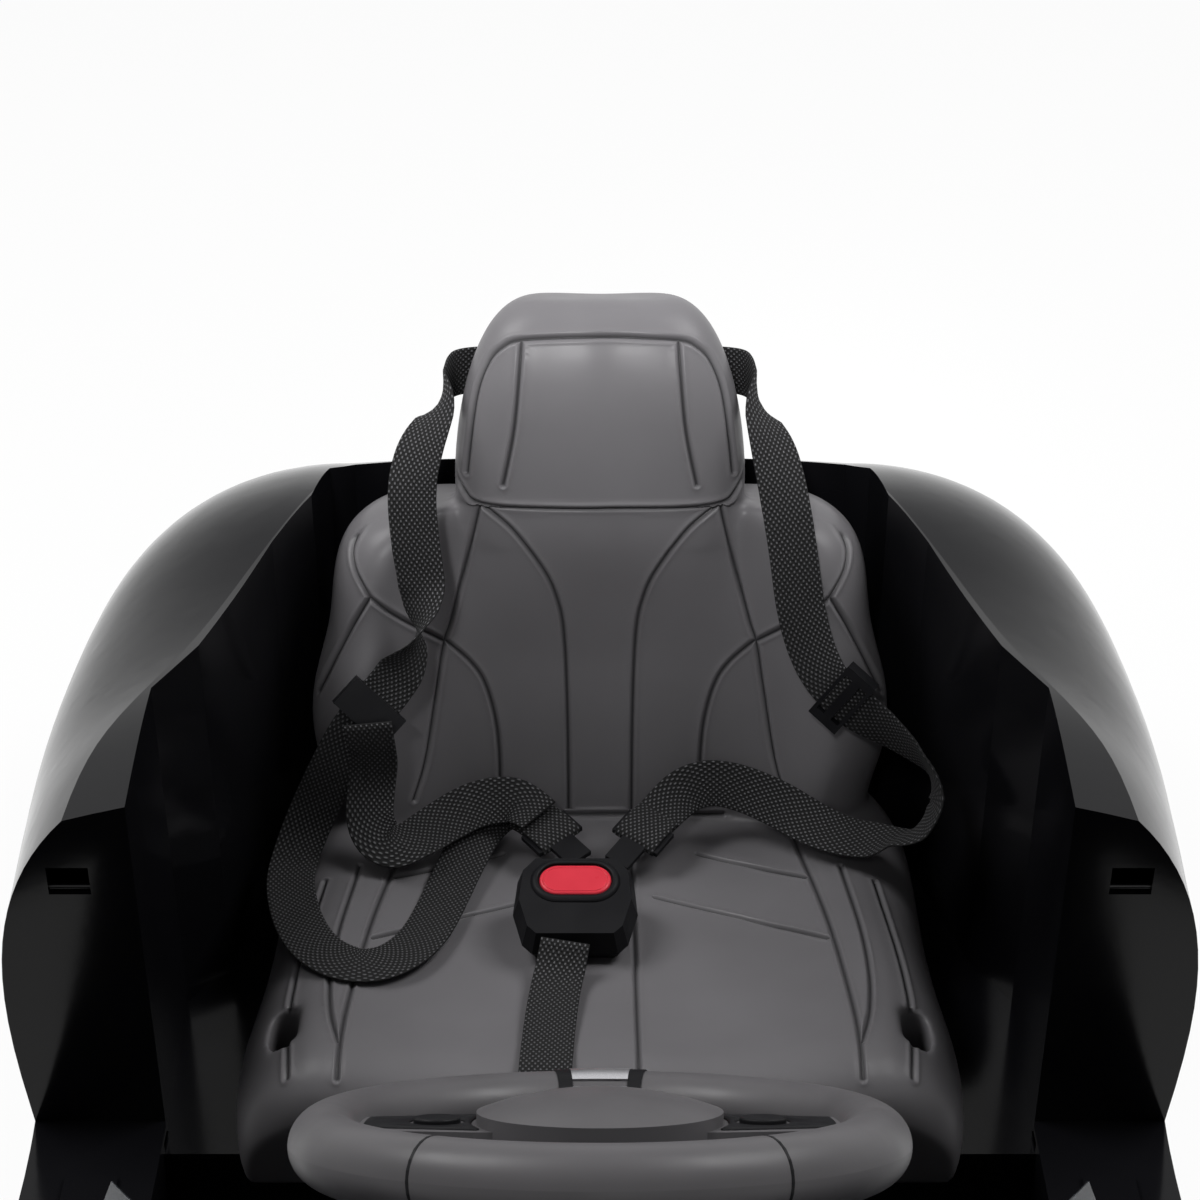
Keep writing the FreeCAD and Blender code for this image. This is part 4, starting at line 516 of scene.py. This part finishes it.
def even_skin():
    """The seat's own mesh, remade as an even grid."""
    source = bpy.data.objects.new("seat_skin_source", frame["nodes"]["seat"].data.copy())
    bpy.context.scene.collection.objects.link(source)
    remesh = source.modifiers.new("even", "REMESH")
    remesh.mode = "VOXEL"
    remesh.voxel_size = skin_voxel
    settle = source.modifiers.new("settle", "SMOOTH")
    settle.factor = smooth_factor
    settle.iterations = skin_passes
    mesh = evaluated_mesh(source)
    bpy.data.objects.remove(source)
    return mesh


def near_seams(skin, finders, reach):
    """The vertices within a reach of a seam, with their distances from it."""
    found = {}
    for vertex in skin.verts:
        distance = seam_distance(vertex.co, vertex.normal, *finders)
        if distance < reach:
            found[vertex] = distance
    return found


def refine_near_seams(skin, finders):
    for reach, cuts in zip(seam_reaches, seam_cuts):
        near = near_seams(skin, finders, reach)
        edges = [edge for edge in skin.edges if edge.verts[0] in near and edge.verts[1] in near]
        bmesh.ops.subdivide_edges(skin, edges=edges, cuts=cuts, use_grid_fill=True)
        skin.normal_update()


def press_seams(skin, finders):
    """Presses in the seams, raises their lips and the head rest's edge, and notes where the seams' painted
    shade goes.
    """
    shade = skin.verts.layers.float.new("seam")
    lifts = {vertex: head_rest_step(vertex.co, vertex.normal) for vertex in skin.verts}
    for vertex, distance in near_seams(skin, finders, seam_reaches[0]).items():
        share = math.exp(-(distance / seam_half_width) ** 2)
        # Mask for the painted shade, darkest in the bottom of the seam
        vertex[shade] = share ** 2
        lip = lip_height * math.exp(-((distance - lip_distance) / seam_half_width) ** 2)
        lifts[vertex] += lip - seam_depth * share
    for vertex, lift in lifts.items():
        vertex.co += vertex.normal * lift


def make_seat():
    mesh = even_skin()
    skin = bmesh.new()
    skin.from_mesh(mesh)
    skin.normal_update()
    fill_neck(skin)
    finders = [point_finder(points) for points in
               (seam_points(back_seams), seam_points(cushion_seams), crease_points(skin))]
    refine_near_seams(skin, finders)
    press_seams(skin, finders)
    for face in skin.faces:
        face.smooth = True
    skin.to_mesh(mesh)
    skin.free()
    seat = add_piece("seat_skin", mesh, "chassis", "seat_grey")
    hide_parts("seat")


# Harness. Routes repeat those of the solid model: each row has the sideways, up and out shares in
# the seat back's frame, then how far the webbing faces up (or sideways where below zero) rather
# than out of the back, then its roll in degrees.

strap_start = [
    ((0.36, 0.845, -1.06), 0.0, 180),
    ((0.43, 0.845, -1.02), -0.3, 180),
    ((0.490, 0.845, -0.82), -0.8, 180),
    ((0.505, 0.843, -0.45), -1.0, 180),
    ((0.510, 0.835, -0.10), -1.0, 180),
]
right_shoulder = [
    ((-0.535, 0.805, 0.40), 0.0, 50),
    ((-0.590, 0.745, 0.70), 0.0, 20),
    ((-0.612, 0.680, 0.90), 0.0, 0),
    ((-0.600, 0.585, 0.98), 0.0, 0),
    ((-0.578, 0.505, 1.02), 0.0, 10),
    ((-0.583, 0.460, 1.13), 0.0, 45),
    ((-0.595, 0.420, 1.22), 0.0, 90),
    ((-0.622, 0.380, 1.22), 0.0, 135),
    ((-0.660, 0.345, 1.22), 0.0, 172),
    ((-0.712, 0.308, 1.30), 0.0, 180),
    ((-0.800, 0.258, 1.44), 0.0, 180),
]
right_loop = [
    ((-0.875, 0.180, 1.42), 0.0, 180),
    ((-0.960, 0.075, 1.20), 0.2, 180),
    ((-1.010, 0.010, 1.45), 0.6, 180),
    ((-1.020, -0.015, 2.15), 0.9, 180),
    ((-0.955, -0.035, 3.20), 1.0, 180),
    ((-0.860, -0.042, 3.90), 1.0, 180),
    ((-0.740, -0.050, 4.12), 1.0, 180),
    ((-0.630, -0.056, 3.75), 1.0, 180),
    ((-0.558, -0.055, 3.10), 1.0, 180),
    ((-0.512, -0.043, 2.25), 1.0, 180),
    ((-0.465, -0.018, 1.40), 0.8, 180),
    ((-0.405, 0.020, 0.75), 0.5, 180),
    ((-0.325, 0.050, 0.50), 0.4, 180),
    ((-0.255, 0.050, 0.66), 0.6, 180),
    ((-0.195, 0.034, 0.94), 0.8, 180),
]
right_return = [
    ((-0.205, 0.058, 1.02), 0.8, 180),
    ((-0.262, 0.074, 0.82), 0.6, 180),
    ((-0.330, 0.075, 0.74), 0.4, 180),
    ((-0.425, 0.068, 0.80), 0.4, 180),
    ((-0.528, 0.048, 1.08), 0.5, 180),
    ((-0.629, 0.036, 1.62), 0.7, 180),
    ((-0.712, 0.044, 1.86), 0.6, 180),
    ((-0.765, 0.080, 1.62), 0.3, 180),
    ((-0.755, 0.140, 1.40), 0.0, 180),
    ((-0.742, 0.190, 1.46), 0.0, 180),
    ((-0.748, 0.235, 1.66), 0.0, 180),
    ((-0.755, 0.275, 1.70), 0.0, 180),
]
left_shoulder = [
    ((0.530, 0.800, 0.40), 0.0, -50),
    ((0.572, 0.735, 0.70), 0.0, -20),
    ((0.604, 0.650, 0.92), 0.0, 0),
    ((0.632, 0.555, 1.02), 0.0, 0),
    ((0.652, 0.470, 1.06), 0.0, 0),
    ((0.690, 0.390, 1.12), 0.0, 10),
    ((0.745, 0.332, 1.28), 0.0, 15),
    ((0.850, 0.284, 1.46), 0.0, 15),
]
left_loop = [
    ((0.970, 0.245, 1.58), 0.0, 40),
    ((1.065, 0.215, 2.00), 0.0, 75),
    ((1.090, 0.165, 2.35), 0.2, 80),
    ((1.060, 0.115, 2.30), 0.5, 60),
    ((0.990, 0.070, 2.05), 0.8, 30),
    ((0.900, 0.050, 1.78), 0.8, 0),
    ((0.792, 0.050, 1.60), 0.7, 0),
    ((0.695, 0.060, 1.30), 0.5, 0),
    ((0.595, 0.080, 0.98), 0.3, 0),
    ((0.486, 0.094, 0.70), 0.2, 0),
    ((0.383, 0.100, 0.56), 0.2, 0),
    ((0.300, 0.088, 0.56), 0.3, 0),
    ((0.232, 0.062, 0.70), 0.6, 0),
    ((0.175, 0.040, 0.98), 0.8, 0),
]
crotch = [
    ((-0.108, -0.024, 3.72), 1.0, 0),
    ((-0.120, -0.060, 3.86), 1.0, 0),
    ((-0.137, -0.080, 4.20), 1.0, 0),
    ((-0.149, -0.092, 4.80), 1.0, 0),
    ((-0.158, -0.102, 5.60), 1.0, 0),
    ((-0.162, -0.112, 6.05), 0.9, 0),
    ((-0.163, -0.145, 6.38), 0.5, 0),
    ((-0.163, -0.190, 6.45), 0.1, 0),
    ((-0.163, -0.250, 6.35), 0.0, 0),
    ((-0.163, -0.310, 6.25), 0.0, 0),
]


# Points between each pair of a route's rows
route_steps = 6


def mirrored_rows(rows):
    return [((-side, up, out), lay, roll) for (side, up, out), lay, roll in rows]


def strap_point(shares):
    side, up, out = shares
    offset = back_up * (up * back_length) + back_out * (out * seat_thick)
    return seat_corner + offset + Vector((side * seat_half_width, 0, 0))


def spline_points(points):
    """Points read along one smooth curve that has these as its control points."""
    curve = bpy.data.curves.new("route", "CURVE")
    curve.dimensions = "3D"
    curve.resolution_u = route_steps
    spline = curve.splines.new("NURBS")
    spline.points.add(len(points) - 1)
    for control, point in zip(spline.points, points):
        control.co = (*point, 1)
    spline.order_u = 3
    spline.use_endpoint_u = True
    holder = bpy.data.objects.new("route", curve)
    bpy.context.scene.collection.objects.link(holder)
    mesh = evaluated_mesh(holder)
    line = [vertex.co.copy() for vertex in mesh.vertices]
    bpy.data.objects.remove(holder)
    bpy.data.meshes.remove(mesh)
    return line


def distances_along(points):
    places = [0.0]
    for before, after in zip(points, points[1:]):
        places.append(places[-1] + (after - before).length)
    return places


def value_along(share, places, values):
    """The value at a share of the way along, between the values at the places."""
    wanted = share * places[-1]
    for number in range(len(places) - 1):
        if wanted <= places[number + 1]:
            part = (wanted - places[number]) / (places[number + 1] - places[number])
            return values[number] + (values[number + 1] - values[number]) * part
    return values[-1]


def row_acrosses(route, points):
    """The way across the webbing at each row of its route."""
    acrosses = []
    previous = None
    for number, (_, lay, roll) in enumerate(route):
        run = points[min(number + 1, len(points) - 1)] - points[max(number - 1, 0)]
        facing = back_out * (1 - abs(lay)) + Vector((min(lay, 0), 0, max(lay, 0)))
        across = run.cross(facing).normalized()
        if previous and across.dot(previous) < 0:
            across.negate()
        previous = across.copy()
        across.rotate(Matrix.Rotation(math.radians(roll), 3, run))
        acrosses.append(across)
    return acrosses


def strap_frames(route):
    """Point, across and face of the webbing along its smooth line, and the length to there."""
    controls = [strap_point(row[0]) for row in route]
    control_places = distances_along(controls)
    acrosses = row_acrosses(route, controls)
    line = spline_points(controls)
    line_places = distances_along(line)
    frames = []
    for number, point in enumerate(line):
        run = line[min(number + 1, len(line) - 1)] - line[max(number - 1, 0)]
        run.normalize()
        across = value_along(line_places[number] / line_places[-1], control_places, acrosses)
        across = (across - run * across.dot(run)).normalized()
        frames.append((point, across, run.cross(across), line_places[number]))
    return frames


# Upper half of the tape's outline across its width, as shares of half width and half thickness
tape_top_shares = [(-1.0, 0.35), (-0.96, 0.9), (-0.88, 1.0), (-0.5, 0.9), (0.0, 0.9), (0.5, 0.9),
                   (0.88, 1.0), (0.96, 0.9), (1.0, 0.35)]


def tape_mesh(name, frames):
    """A closed tape along the frames, with the metres across and along it as its weave map."""
    shares = tape_top_shares + [(x, -z) for x, z in reversed(tape_top_shares)]
    outline = [(x * webbing_width / 2, z * webbing_thick / 2) for x, z in shares]
    count = len(outline)
    tape = bmesh.new()
    weave = tape.loops.layers.uv.new("weave")
    rings = []
    for point, across, facing, _ in frames:
        rings.append([tape.verts.new(point + across * x + facing * z) for x, z in outline])
    for number in range(len(rings) - 1):
        for k in range(count):
            after = (k + 1) % count
            corners = [(number, k), (number, after), (number + 1, after), (number + 1, k)]
            face = tape.faces.new([rings[row][column] for row, column in corners])
            face.smooth = True
            for loop, (row, column) in zip(face.loops, corners):
                loop[weave].uv = (outline[column][0], frames[row][3])
    tape.faces.new(rings[0])
    tape.faces.new(rings[-1])
    bmesh.ops.recalc_face_normals(tape, faces=tape.faces)
    mesh = bpy.data.meshes.new(name)
    tape.to_mesh(mesh)
    tape.free()
    return mesh


# The sewn end of a strap, folded over its tongue: distance past the strap's end and height over it,
# and the steps of the smooth line between each pair of rows
fold_rows = [(-7 * mm, 1.0 * mm), (-2 * mm, 2.2 * mm), (5 * mm, 2.9 * mm), (11 * mm, 2.9 * mm),
             (15 * mm, 2.3 * mm), (17 * mm, 0.6 * mm), (16.6 * mm, -1.6 * mm), (13 * mm, -2.7 * mm)]
fold_steps = 4


def make_fold(name, route):
    point, across, face, _ = strap_frames(route)[-1]
    if face.z < 0:
        face = -face
        across = -across
    run = across.cross(face)
    if run.dot(point - strap_point(route[-2][0])) < 0:
        run = -run
    line = smooth_line([point + run * past + face * height for past, height in fold_rows], fold_steps)
    places = distances_along(line)
    frames = []
    for number, place in enumerate(line):
        along = (line[min(number + 1, len(line) - 1)] - line[max(number - 1, 0)]).normalized()
        frames.append((place, across, along.cross(across), places[number]))
    return add_piece(name, tape_mesh(name, frames), "chassis", "webbing")


def make_strap(name, route, replaced=None):
    frames = strap_frames(route)
    strap = add_piece(name, tape_mesh(name, frames), "chassis", "webbing")
    if replaced:
        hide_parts(replaced)


def make_harness():
    right = mirrored_rows(strap_start) + right_shoulder + right_loop
    left = strap_start + left_shoulder + left_loop
    right_fold = make_fold("right_strap_fold", right)
    left_fold = make_fold("left_strap_fold", left)
    make_strap("right_shoulder_webbing", right, "shoulder_strap_right")
    make_strap("right_return_webbing", right_return)
    make_strap("left_shoulder_webbing", left, "shoulder_strap_left")
    make_strap("crotch_webbing", crotch, "crotch_strap")


# Buckle: a sloped bezel on the case and a raised line on the red button.
# Rows are the distance outward from the button's edge and the height above a face, in metres.

buckle_centre = Vector((-13, 120, 228)) * mm
buckle_tilt = math.radians(10)
buckle_half_thick = 10 * mm
button_half_run = 9 * mm
button_radius = 10 * mm
button_up = 9.86 * mm
button_stand = 1.5 * mm
bezel_rows = [(5.0 * mm, -0.6 * mm), (4.6 * mm, 0.4 * mm), (3.0 * mm, 1.9 * mm), (1.4 * mm, 2.0 * mm),
              (0.7 * mm, 1.4 * mm), (0.6 * mm, -0.6 * mm)]
line_rows = [(-1.5 * mm, -0.3 * mm), (-2.1 * mm, 0.4 * mm), (-2.8 * mm, -0.3 * mm)]
end_steps = 16


def capsule(half_run, radius):
    """Points round two half circles joined by straight sides."""
    points = []
    for side in (1, -1):
        for step in range(end_steps + 1):
            angle = math.pi * step / end_steps - math.pi / 2
            points.append((side * (half_run + radius * math.cos(angle)), side * radius * math.sin(angle)))
    return points


def ring_mesh(name, loops):
    """A closed tube from equal loops of points, joined side by side and back to the first."""
    ring = bmesh.new()
    rows = [[ring.verts.new(point) for point in loop] for loop in loops]
    count = len(rows[0])
    for row, following in zip(rows, rows[1:] + rows[:1]):
        for k in range(count):
            face = ring.faces.new((row[k], row[(k + 1) % count], following[(k + 1) % count], following[k]))
            face.smooth = True
    bmesh.ops.recalc_face_normals(ring, faces=ring.faces)
    mesh = bpy.data.meshes.new(name)
    ring.to_mesh(mesh)
    ring.free()
    return mesh


def buckle_place(x, up, out):
    turned = Vector((x, up, out))
    turned.rotate(Matrix.Rotation(buckle_tilt, 3, "X"))
    return buckle_centre + turned


def make_button_ring(name, rows, base, body, slot):
    loops = []
    for grow, height in rows:
        outline = capsule(button_half_run, button_radius + grow)
        loops.append([buckle_place(x, button_up + up, base + height) for x, up in outline])
    add_piece(name, ring_mesh(name, loops), body, slot)


def make_buckle_details():
    make_button_ring("buckle_bezel", bezel_rows, buckle_half_thick, "chassis", "black_plastic")
    make_button_ring("button_line", line_rows, buckle_half_thick + button_stand, "buckle_button", "red")


# Steering wheel: a silver clip over the rim above the lower spoke, between two black collars,
# two seams in the rim's wrap, and a black panel let into each side spoke round its button

clip_half_angle = math.radians(7)
collar_half_angle = math.radians(10.5)
clip_turns = (math.radians(40), math.radians(128))
collar_turns = (math.radians(30), math.radians(150))
wrap_seam_angle = math.radians(146)
wrap_seam_half_angle = math.radians(0.3)
wrap_seam_turns = (math.radians(-160), math.radians(160))
clip_rise = 1.0 * mm
collar_rise = 0.7 * mm
wrap_seam_rise = 0.2 * mm
strip_steps = 20
spoke_face = 6.5 * mm
spoke_button_x = 62 * mm
panel_hole_radius = 10.4 * mm
panel_radii = (49 * mm, rim_ring_radius - rim_tube_radius - 0.5 * mm)
panel_half_heights = (21 * mm, 13 * mm)
panel_sides = 96
panel_search_step = 0.2 * mm
panel_rows = [(0.0, -1.0 * mm), (0.0, 0.3 * mm), (0.4 * mm, 0.7 * mm)]


def rim_point(angle, turn, radius):
    """A point at an angle round the rim from the lower spoke, and at a turn round its tube."""
    sideways = Vector((1, 0, 0)) * math.sin(angle) + wheel_down * math.cos(angle)
    outward = sideways * math.cos(turn) + wheel_out * math.sin(turn)
    return wheel_centre + sideways * rim_ring_radius + outward * radius


def make_rim_strip(name, angles, turns, rise, slot):
    """A strip over part of the rim's tube, with its underside sunk into the rim."""
    strip = bmesh.new()
    sheets = []
    for radius in (rim_tube_radius - rise, rim_tube_radius + rise):
        sheet = []
        for angle in steps_between(angles):
            sheet.append([strip.verts.new(rim_point(angle, turn, radius)) for turn in steps_between(turns)])
        sheets.append(sheet)
    for sheet in sheets:
        for row, following in zip(sheet, sheet[1:]):
            for k in range(strip_steps):
                strip.faces.new((row[k], row[k + 1], following[k + 1], following[k]))
    for below, above in zip(sheet_border(sheets[0]), sheet_border(sheets[1])):
        strip.faces.new((*below, *reversed(above)))
    bmesh.ops.recalc_face_normals(strip, faces=strip.faces)
    mesh = bpy.data.meshes.new(name)
    strip.to_mesh(mesh)
    strip.free()
    add_piece(name, mesh, "steering", slot)


def steps_between(limits):
    return [limits[0] + (limits[1] - limits[0]) * step / strip_steps for step in range(strip_steps + 1)]


def sheet_border(sheet):
    """The pairs of neighbours round the edge of a grid of vertices."""
    right = [row[-1] for row in sheet]
    left = [row[0] for row in sheet]
    around = sheet[0] + right[1:] + sheet[-1][-2::-1] + left[-2:0:-1]
    return list(zip(around, around[1:] + around[:1]))


def wheel_place(x, down, out):
    return wheel_centre + Vector((x, 0, 0)) + wheel_down * down + wheel_out * out


def in_panel(x, down):
    """Whether a place on the spoke's face is inside the panel, which narrows towards the rim."""
    radius = math.hypot(x, down)
    share = (radius - panel_radii[0]) / (panel_radii[1] - panel_radii[0])
    half_height = panel_half_heights[0] + (panel_half_heights[1] - panel_half_heights[0]) * share
    return 0 < share < 1 and abs(down) < half_height


def panel_outline():
    """Points where lines from the button's centre leave the panel."""
    points = []
    for side in range(panel_sides):
        angle = 2 * math.pi * side / panel_sides
        reach = panel_hole_radius
        while in_panel(spoke_button_x + reach * math.cos(angle), reach * math.sin(angle)):
            reach += panel_search_step
        points.append((reach, angle))
    return points


def make_spoke_panel(name, side):

    def placed(reach, angle, height):
        x = side * (spoke_button_x + reach * math.cos(angle))
        return wheel_place(x, reach * math.sin(angle), spoke_face + height)

    outline = panel_outline()
    loops = []
    for inset, height in panel_rows:
        loops.append([placed(reach - inset, angle, height) for reach, angle in outline])
    for inset, height in reversed(panel_rows):
        loops.append([placed(panel_hole_radius + inset, angle, height) for _, angle in outline])
    add_piece(name, ring_mesh(name, loops), "steering", "black_plastic")


def make_rim_clip():
    clip = (-clip_half_angle, clip_half_angle)
    make_rim_strip("rim_clip", clip, clip_turns, clip_rise, "silver")
    for side, name in ((1, "rim_collar_left"), (-1, "rim_collar_right")):
        collar = (side * clip_half_angle, side * collar_half_angle)
        make_rim_strip(name, collar, collar_turns, collar_rise, "black_plastic")


def make_wheel_details():
    make_rim_clip()
    for side, name in ((1, "left"), (-1, "right")):
        make_spoke_panel("spoke_panel_" + name, side)
        seam_start = side * (wrap_seam_angle - wrap_seam_half_angle)
        seam_end = side * (wrap_seam_angle + wrap_seam_half_angle)
        make_rim_strip("rim_seam_" + name, (seam_start, seam_end), wrap_seam_turns, wrap_seam_rise,
                       "black_plastic")


# Stage, light and camera, in metres and watts, with the camera's sensor and lens in millimetres

world_fill = 0.12
floor_reach = 40.0
floor_white_share = 0.94
spot_softness = 0.2
cockpit = (0, 0.1, 0.3)
photo_sensor = 36
photo_lens = 75
photo_place = (0, -0.8973, 1.0820)
photo_pitch_down = math.radians(33)


def seen_directly(tree):
    """One for rays from the camera, a mirror or a clear pane, and zero for rays that gather light."""
    path = tree.nodes.new("ShaderNodeLightPath")
    total = path.outputs["Is Camera Ray"]
    for kind in ("Is Glossy Ray", "Is Transmission Ray"):
        total = arithmetic(tree, "MAXIMUM", total, path.outputs[kind])
    return total


def make_world():
    world = bpy.data.worlds.new("studio")
    bpy.context.scene.world = world
    world.use_nodes = True
    tree = world.node_tree
    light = tree.nodes["Background"]
    light.inputs["Color"].default_value = (1, 1, 1, 1)
    light.inputs["Strength"].default_value = world_fill
    white = tree.nodes.new("ShaderNodeBackground")
    white.inputs["Color"].default_value = (1, 1, 1, 1)
    white.inputs["Strength"].default_value = 1.0
    mix = tree.nodes.new("ShaderNodeMixShader")
    tree.links.new(seen_directly(tree), mix.inputs["Fac"])
    tree.links.new(light.outputs["Background"], mix.inputs[1])
    tree.links.new(white.outputs["Background"], mix.inputs[2])
    tree.links.new(mix.outputs["Shader"], tree.nodes["World Output"].inputs["Surface"])


def make_floor():
    mesh = bpy.data.meshes.new("floor")
    corners = [(x * floor_reach, y * floor_reach, 0) for x, y in ((-1, -1), (1, -1), (1, 1), (-1, 1))]
    mesh.from_pydata(corners, [], [(0, 1, 2, 3)])
    floor = bpy.data.objects.new("floor", mesh)
    bpy.context.scene.collection.objects.link(floor)
    material, shader = new_material("floor", (0.9, 0.9, 0.9), 0.9)
    tree = material.node_tree
    glow = tree.nodes.new("ShaderNodeEmission")
    glow.inputs["Strength"].default_value = 1.0
    mix = tree.nodes.new("ShaderNodeMixShader")
    share = arithmetic(tree, "MULTIPLY", seen_directly(tree), floor_white_share)
    tree.links.new(share, mix.inputs["Fac"])
    tree.links.new(shader.outputs["BSDF"], mix.inputs[1])
    tree.links.new(glow.outputs["Emission"], mix.inputs[2])
    tree.links.new(mix.outputs["Shader"], tree.nodes["Material Output"].inputs["Surface"])
    mesh.materials.append(material)


def aim_light(name, data, place, target):
    light = bpy.data.objects.new(name, data)
    light.location = place
    light.rotation_euler = (Vector(target) - Vector(place)).to_track_quat("-Z", "Y").to_euler()
    bpy.context.scene.collection.objects.link(light)


def add_area_light(name, place, target, size, power):
    data = bpy.data.lights.new(name, "AREA")
    data.shape = "RECTANGLE"
    data.size, data.size_y = size
    data.energy = power
    aim_light(name, data, place, target)


def add_spot(name, place, target, spread, power):
    data = bpy.data.lights.new(name, "SPOT")
    data.spot_size = spread
    data.spot_blend = 1.0
    data.shadow_soft_size = spot_softness
    data.energy = power
    aim_light(name, data, place, target)


def make_lights():
    add_area_light("key_right", place=(-1.2, 0.5, 2.0), target=cockpit, size=(0.9, 0.9), power=31)
    add_area_light("key_left", place=(1.2, 0.5, 2.0), target=cockpit, size=(0.9, 0.9), power=29)
    add_area_light("front", place=(0.4, -2.5, 1.3), target=(0, 0.2, 0.4), size=(0.9, 0.6), power=4)
    add_spot("head_rest_spot", place=(-0.35, -1.5, 2.2), target=(0, 0.36, 0.50),
             spread=math.radians(11.2), power=430)


def make_camera():
    data = bpy.data.cameras.new("photo_view")
    data.sensor_width = photo_sensor
    data.lens = photo_lens
    camera = bpy.data.objects.new("photo_view", data)
    camera.location = photo_place
    camera.rotation_euler = (math.pi / 2 - photo_pitch_down, 0, 0)
    bpy.context.scene.collection.objects.link(camera)
    bpy.context.scene.camera = camera


dress_cad_nodes()
make_seat()
make_harness()
make_buckle_details()
make_wheel_details()
make_world()
make_floor()
make_lights()
make_camera()
bpy.context.scene.view_settings.view_transform = "Standard"
